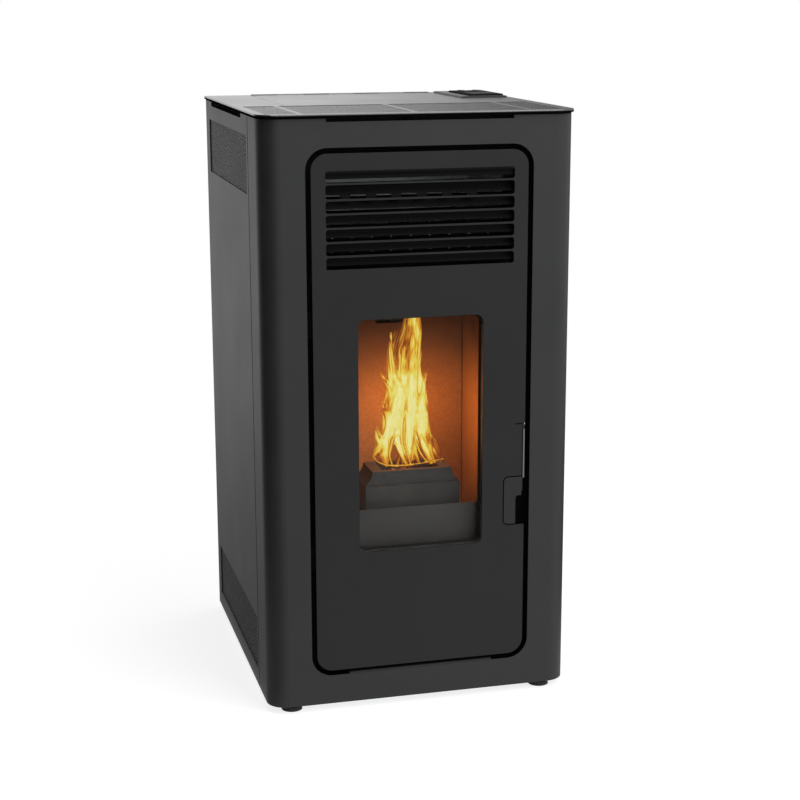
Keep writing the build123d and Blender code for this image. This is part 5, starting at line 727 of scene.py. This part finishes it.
SOFT_EDGE = 1.3
CURVE_STEPS = 20
FLAME_PITCH = 1.6
FLAME_HALF = 68.0
FLAME_FOOT = 362.0
FLAME_HEAD = 636.0
FLAME_BODY_Y = 94.0
FLAME_BODY_BULGE = 16.0
FLAME_FRONT_Y = 68.0
FLAME_FRONT_BULGE = 2.0
FAINTEST_GAS = 0.02


def along_curve(points, steps):
    """Points on a smooth curve through the given ones (Catmull-Rom)."""
    ends = [points[0]] + list(points) + [points[-1]]
    line = []
    for index in range(1, len(ends) - 2):
        a, b, c, d = (Vector(ends[index + shift]) for shift in (-1, 0, 1, 2))
        for step in range(steps):
            t = step / steps
            line.append(0.5 * (2 * b + (c - a) * t + (2 * a - 5 * b + 4 * c - d) * t * t
                               + (3 * b - a - 3 * c + d) * t * t * t))
    line.append(Vector(points[-1]))
    return line


def gas_at(tongues, share, x, z):
    """Density, heat, side distance and its weight that these tongues give at points x, z."""
    clear = np.ones_like(x)
    hottest = np.zeros_like(x)
    offset = np.zeros_like(x)
    weight = np.full_like(x, 1e-6)
    for points in tongues.values():
        line = np.array(along_curve(points, CURVE_STEPS))
        lean = np.gradient(line[:, :2], axis=0)
        lean /= np.linalg.norm(lean, axis=1)[:, None]
        half = np.maximum(line[:, 2], THINNEST_TONGUE) * SOFT_EDGE
        away = np.hypot(x[:, None] - line[None, :, 0], z[:, None] - line[None, :, 1]) / half
        near = away.argmin(axis=1)
        density = np.clip(1 - away.min(axis=1) ** 2, 0, 1) * share
        aside = (x - line[near, 0]) * lean[near, 1] - (z - line[near, 1]) * lean[near, 0]
        clear *= 1 - density
        hottest = np.maximum(hottest, density)
        offset += aside * density ** 2
        weight += density ** 2
    return 1 - clear, hottest, offset, weight


def flame_sheet(name, groups, cover, depth, bulge):
    """Sheet of gas as wide as its tongues, bulged towards the window where it is dense."""
    columns = np.arange(-FLAME_HALF, FLAME_HALF + 1, FLAME_PITCH)
    rows = np.arange(FLAME_FOOT, FLAME_HEAD + 1, FLAME_PITCH)
    x, z = (grid.ravel() for grid in np.meshgrid(columns, rows))
    clear, heat, offset, weight = 1.0, 0.0, 0.0, 0.0
    for tongues, share in groups:
        density, hottest, aside, part = gas_at(tongues, share, x, z)
        clear = clear * (1 - density)
        heat = np.maximum(heat, hottest)
        offset = offset + aside
        weight = weight + part
    density = 1 - clear
    aside = offset / weight
    corners = [place(*point) for point in zip(x, depth - bulge * density, z)]
    wide = len(columns)
    faces = []
    for row in range(len(rows) - 1):
        for column in range(wide - 1):
            first = row * wide + column
            quad = (first, first + 1, first + wide + 1, first + wide)
            if max(density[number] for number in quad) > FAINTEST_GAS:
                faces.append(quad)
    sheet = make_piece(name, corners, faces, flame_finish(name, cover))
    mesh = sheet.data
    mesh.attributes.new("gas", "FLOAT", "POINT").data.foreach_set("value", density)
    mesh.attributes.new("core", "FLOAT", "POINT").data.foreach_set("value", heat)
    flow = np.stack([aside, np.full_like(z, depth), z], axis=1)
    mesh.attributes.new("flow", "FLOAT_VECTOR", "POINT").data.foreach_set("vector", flow.ravel())
    trim_loose_corners(mesh)
    sheet.visible_shadow = False
    sheet.visible_diffuse = False


def trim_loose_corners(mesh):
    """Remove the corners that no face uses."""
    cut = bmesh.new()
    cut.from_mesh(mesh)
    bmesh.ops.delete(cut, geom=[corner for corner in cut.verts if not corner.link_faces], context="VERTS")
    cut.to_mesh(mesh)
    cut.free()


flame_sheet("flame_body", ((BODY_TONGUES, 1.0), (THIN_TONGUES, THIN_SHARE)), 1.0,
            FLAME_BODY_Y, FLAME_BODY_BULGE)
flame_sheet("flame_front", ((FRONT_TONGUES, FRONT_SHARE),), FRONT_COVER, FLAME_FRONT_Y, FLAME_FRONT_BULGE)


# The pot's hole: half its width, and its span from front to rear.
POT_HOLE_X = 47.0
POT_HOLE_Y = (65.5, 110.5)
POT_WALL_GAP = 5.0
EMBER_LEVEL = 346.0
EMBER_DEPTH = (-6.0, 1.0)
EMBER_HEAP = 7.0
PELLET_COUNT = 150
PELLET_SEED = 7
PELLET_RADIUS = 3.0
PELLET_LENGTH = (8.0, 15.0)
PELLET_TILT = 0.35
PELLET_SIDES = 8
PELLET_RINGS = ((-0.5, 0.78), (-0.42, 1.0), (0.0, 0.97), (0.42, 1.0), (0.5, 0.78))


def ember_finish():
    """Glowing pellets: dull red cracks in a dark, ashy skin."""
    ember = Finish("ember")
    cracks = ember.cells(190.0, feature="DISTANCE_TO_EDGE")
    glow_noise = ember.noise(75.0, 3.0, 0.6)
    fine = ember.noise(700.0, 3.0, 0.6)
    glow = (1.0 - cracks.step(0.0, 0.14)) * 0.4 + glow_noise.step(0.42, 0.62) * 0.6
    skin = ember.blend(fine.step(0.4, 0.7), (0.020, 0.013, 0.010), (0.12, 0.085, 0.07))
    colour = ember.ramp(glow, (0.1, (0.02, 0.002, 0.0)), (0.4, (0.20, 0.03, 0.006)),
                        (0.75, (0.42, 0.09, 0.03)), (1.0, (0.70, 0.26, 0.07)))
    return ember.surface(Base_Color=skin, Roughness=0.85 + fine * 0.1, Emission_Color=colour,
                         Emission_Strength=0.6, Normal=ember.bump(fine, 0.5, 0.0006))


def pellet(centre, axis, length, corners, faces):
    """Short pressed rod with slightly broken ends."""
    axis = axis.normalized()
    side = axis.orthogonal().normalized()
    other = axis.cross(side)
    sides = PELLET_SIDES
    base = len(corners)
    for share, width in PELLET_RINGS:
        for step in range(sides):
            angle = 2 * math.pi * step / sides
            wobble = 1 + 0.05 * math.sin(3 * angle + length)
            spoke = side * math.cos(angle) + other * math.sin(angle)
            reach = PELLET_RADIUS * width * wobble
            corners.append(place(*(centre + axis * (share * length) + spoke * reach)))
    last = base + (len(PELLET_RINGS) - 1) * sides
    for first in range(base, last, sides):
        for step in range(sides):
            after = (step + 1) % sides
            faces.append((first + step, first + after, first + sides + after, first + sides + step))
    faces.append(tuple(base + step for step in reversed(range(sides))))
    faces.append(tuple(last + step for step in range(sides)))


def burning_pellets():
    """The bed of burning pellets, heaped a little towards the middle of the pot."""
    chance = random.Random(PELLET_SEED)
    corners = []
    faces = []
    for _ in range(PELLET_COUNT):
        x = chance.uniform(-POT_HOLE_X + POT_WALL_GAP, POT_HOLE_X - POT_WALL_GAP)
        y = chance.uniform(POT_HOLE_Y[0] + POT_WALL_GAP, POT_HOLE_Y[1] - POT_WALL_GAP)
        heap = EMBER_HEAP * (1 - (x / POT_HOLE_X) ** 2)
        z = EMBER_LEVEL + chance.uniform(*EMBER_DEPTH) + heap
        tilt = (-PELLET_TILT, PELLET_TILT)
        axis = Vector((chance.uniform(-1, 1), chance.uniform(-1, 1), chance.uniform(*tilt)))
        length = chance.uniform(*PELLET_LENGTH)
        reach = 0.5 * length * abs(axis.normalized().x) + PELLET_RADIUS
        x = max(-POT_HOLE_X + reach, min(POT_HOLE_X - reach, x))
        reach = 0.5 * length * abs(axis.normalized().y) + PELLET_RADIUS
        y = max(POT_HOLE_Y[0] + reach, min(POT_HOLE_Y[1] - reach, y))
        pellet(Vector((x, y, z)), axis, length, corners, faces)
    make_piece("burning_pellets", corners, faces, ember_finish())


burning_pellets()


# ---------------------------------------------------------------- light, floor and camera

FIRE_COLOUR = (1.0, 0.30, 0.048)
LAMP_AIM = Vector((0.0, 0.0, 0.5))


def fire_lamp(name, x, y, z, power, radius):
    """Warm light from a point of the fire."""
    lamp = bpy.data.lights.new(name, "POINT")
    lamp.energy = power
    lamp.color = FIRE_COLOUR
    lamp.shadow_soft_size = radius
    holder = bpy.data.objects.new(name, lamp)
    holder.location = place(x, y, z)
    holder.visible_camera = False
    holder.visible_glossy = False
    bpy.context.collection.objects.link(holder)


def soft_box(name, centre, width, height, power):
    """Studio lamp with a wide face, turned to the middle of the stove."""
    lamp = bpy.data.lights.new(name, "AREA")
    lamp.shape = "RECTANGLE"
    lamp.size = width
    lamp.size_y = height
    lamp.energy = power
    holder = bpy.data.objects.new(name, lamp)
    holder.location = Vector(centre)
    direction = LAMP_AIM - holder.location
    holder.rotation_euler = direction.to_track_quat("-Z", "Y").to_euler()
    holder.visible_camera = False
    bpy.context.collection.objects.link(holder)


fire_lamp("fire_glow", 9.0, 88.0, 455.0, power=0.90, radius=0.030)
fire_lamp("fire_spill", 0.0, 38.0, 570.0, power=0.10, radius=0.012)

soft_box("front_light", (1.8, -2.9, 3.2), width=3.0, height=2.4, power=98.0)
soft_box("top_light", (0.3, 0.0, 3.2), width=2.6, height=2.6, power=55.0)


SKY_LIGHT = 0.32
FLOOR_REACH = 14.0
FLOOR_GREY = (0.50, 0.50, 0.50)
PAPER_REACH = (1.3, 2.2)
PAPER_GREY = (0.36, 0.36, 0.36)
PAPER_GLOW = (0.76, 0.76, 0.76)
BLACK = (0.0, 0.0, 0.0)
WHITE = (1.0, 1.0, 1.0)

# Black cloths: lowest corner, highest corner, the axis that each fades in along, where, and its cover.
DARK_FLAGS = {
    "left_flag": ((-0.8, -2.2, 0.0), (-0.8, 0.5, 2.0), "Y", (0.5, 0.1), 1.0),
    "left_floor_flag": ((-2.4, -2.2, 0.004), (-0.26, 3.2, 0.004), "Y", (3.0, 0.2), 0.6),
    "right_floor_flag": ((0.26, -0.3, 0.004), (2.4, 3.0, 0.004), "X", (0.2, 0.8), 0.95),
    "back_flag": ((0.1, 1.9, 0.0), (3.6, 1.9, 0.95), "X", (0.2, 0.8), 0.9),
    "high_flag": ((0.1, 1.9, 0.96), (3.6, 1.9, 2.6), "X", (0.05, 1.25), 0.78),
}


def pale_surroundings():
    """World that shows as white and gives a low, even light."""
    sky = Finish("studio", bpy.data.worlds)
    bpy.context.scene.world = sky.owner
    strength = sky.looked_at() * (1.0 - SKY_LIGHT) + SKY_LIGHT
    background = sky.node("Background", None, {"Color": WHITE, "Strength": strength})
    sky.node("OutputWorld", None, {"Surface": background})


def stage_sheet(name, low, high, finish):
    """Flat rectangle between two opposite corners, level or upright, that belongs to the stage."""
    first, second = (axis for axis in range(3) if low[axis] != high[axis])
    beside, above = list(low), list(low)
    beside[first] = high[first]
    above[second] = high[second]
    sheet = linked_mesh(name, (low, beside, high, above), [(0, 1, 2, 3)], finish, False)
    return sheet


def studio_floor():
    """White floor: lit paper near the stove, where its shadow falls, and plain white further out."""
    floor = Finish("studio_floor")
    shown = floor.looked_at()
    far = floor.node("VectorMath", {"operation": "LENGTH"}, {0: floor.spot()}, "Value").step(*PAPER_REACH)
    colour = floor.blend(shown, FLOOR_GREY, floor.blend(far, PAPER_GREY, BLACK))
    glow = floor.blend(shown, BLACK, floor.blend(far, PAPER_GLOW, WHITE))
    grain = floor.noise(60.0, 2.0, 0.5)
    material = floor.surface(Base_Color=colour, Roughness=0.9 + grain * 0.05, Specular_IOR_Level=0.0,
                             Emission_Color=glow, Emission_Strength=1.0)
    stage_sheet("studio_floor", (-FLOOR_REACH, -FLOOR_REACH, 0.0), (FLOOR_REACH, FLOOR_REACH, 0.0), material)


def dark_flag(name, low, high, axis, fade, cover):
    """Black cloth beside the set that only reflections see; it fades in along an axis."""
    cloth = Finish(name)
    weave = cloth.noise(300.0, 2.0, 0.5)
    material = cloth.surface(Base_Color=(0.004, 0.004, 0.004), Roughness=0.95 + weave * 0.05,
                             Specular_IOR_Level=0.0, Alpha=cloth.axis(axis).step(*fade) * cover)
    flag = stage_sheet(name, low, high, material)
    flag.visible_camera = False
    flag.visible_diffuse = False
    flag.visible_shadow = False
    flag.visible_transmission = False


CAMERA_PLACE = (-0.69224, -2.82175, 1.12188)
CAMERA_TURN = math.radians(14.519)
CAMERA_TILT = math.radians(13.184)
CAMERA_ROLL = math.radians(-0.147)
SENSOR_WIDTH = 36.0
FOCAL_PIXELS = 1722.98
PICTURE_PIXELS = 800


def photo_camera():
    """Camera at the photograph's place, with its turn, tilt, roll and focal length."""
    level = math.cos(CAMERA_TILT)
    ahead = Vector((math.sin(CAMERA_TURN) * level, math.cos(CAMERA_TURN) * level, -math.sin(CAMERA_TILT)))
    right = Vector((math.cos(CAMERA_TURN), -math.sin(CAMERA_TURN), 0.0))
    up = right.cross(ahead)
    tilted_right = math.cos(CAMERA_ROLL) * right + math.sin(CAMERA_ROLL) * up
    tilted_up = -math.sin(CAMERA_ROLL) * right + math.cos(CAMERA_ROLL) * up
    lens = bpy.data.cameras.new("camera")
    lens.sensor_width = SENSOR_WIDTH
    lens.lens = FOCAL_PIXELS / PICTURE_PIXELS * SENSOR_WIDTH
    lens.clip_end = 100.0
    camera = bpy.data.objects.new("camera", lens)
    bpy.context.collection.objects.link(camera)
    turned = Matrix((tilted_right, tilted_up, -ahead)).transposed()
    camera.location = CAMERA_PLACE
    camera.rotation_euler = turned.to_euler()
    bpy.context.scene.camera = camera


pale_surroundings()
studio_floor()
for cloth_name, cloth_plan in DARK_FLAGS.items():
    dark_flag(cloth_name, *cloth_plan)
photo_camera()
bpy.context.scene.view_settings.view_transform = "Standard"
bpy.context.scene.cycles.transparent_max_bounces = 24
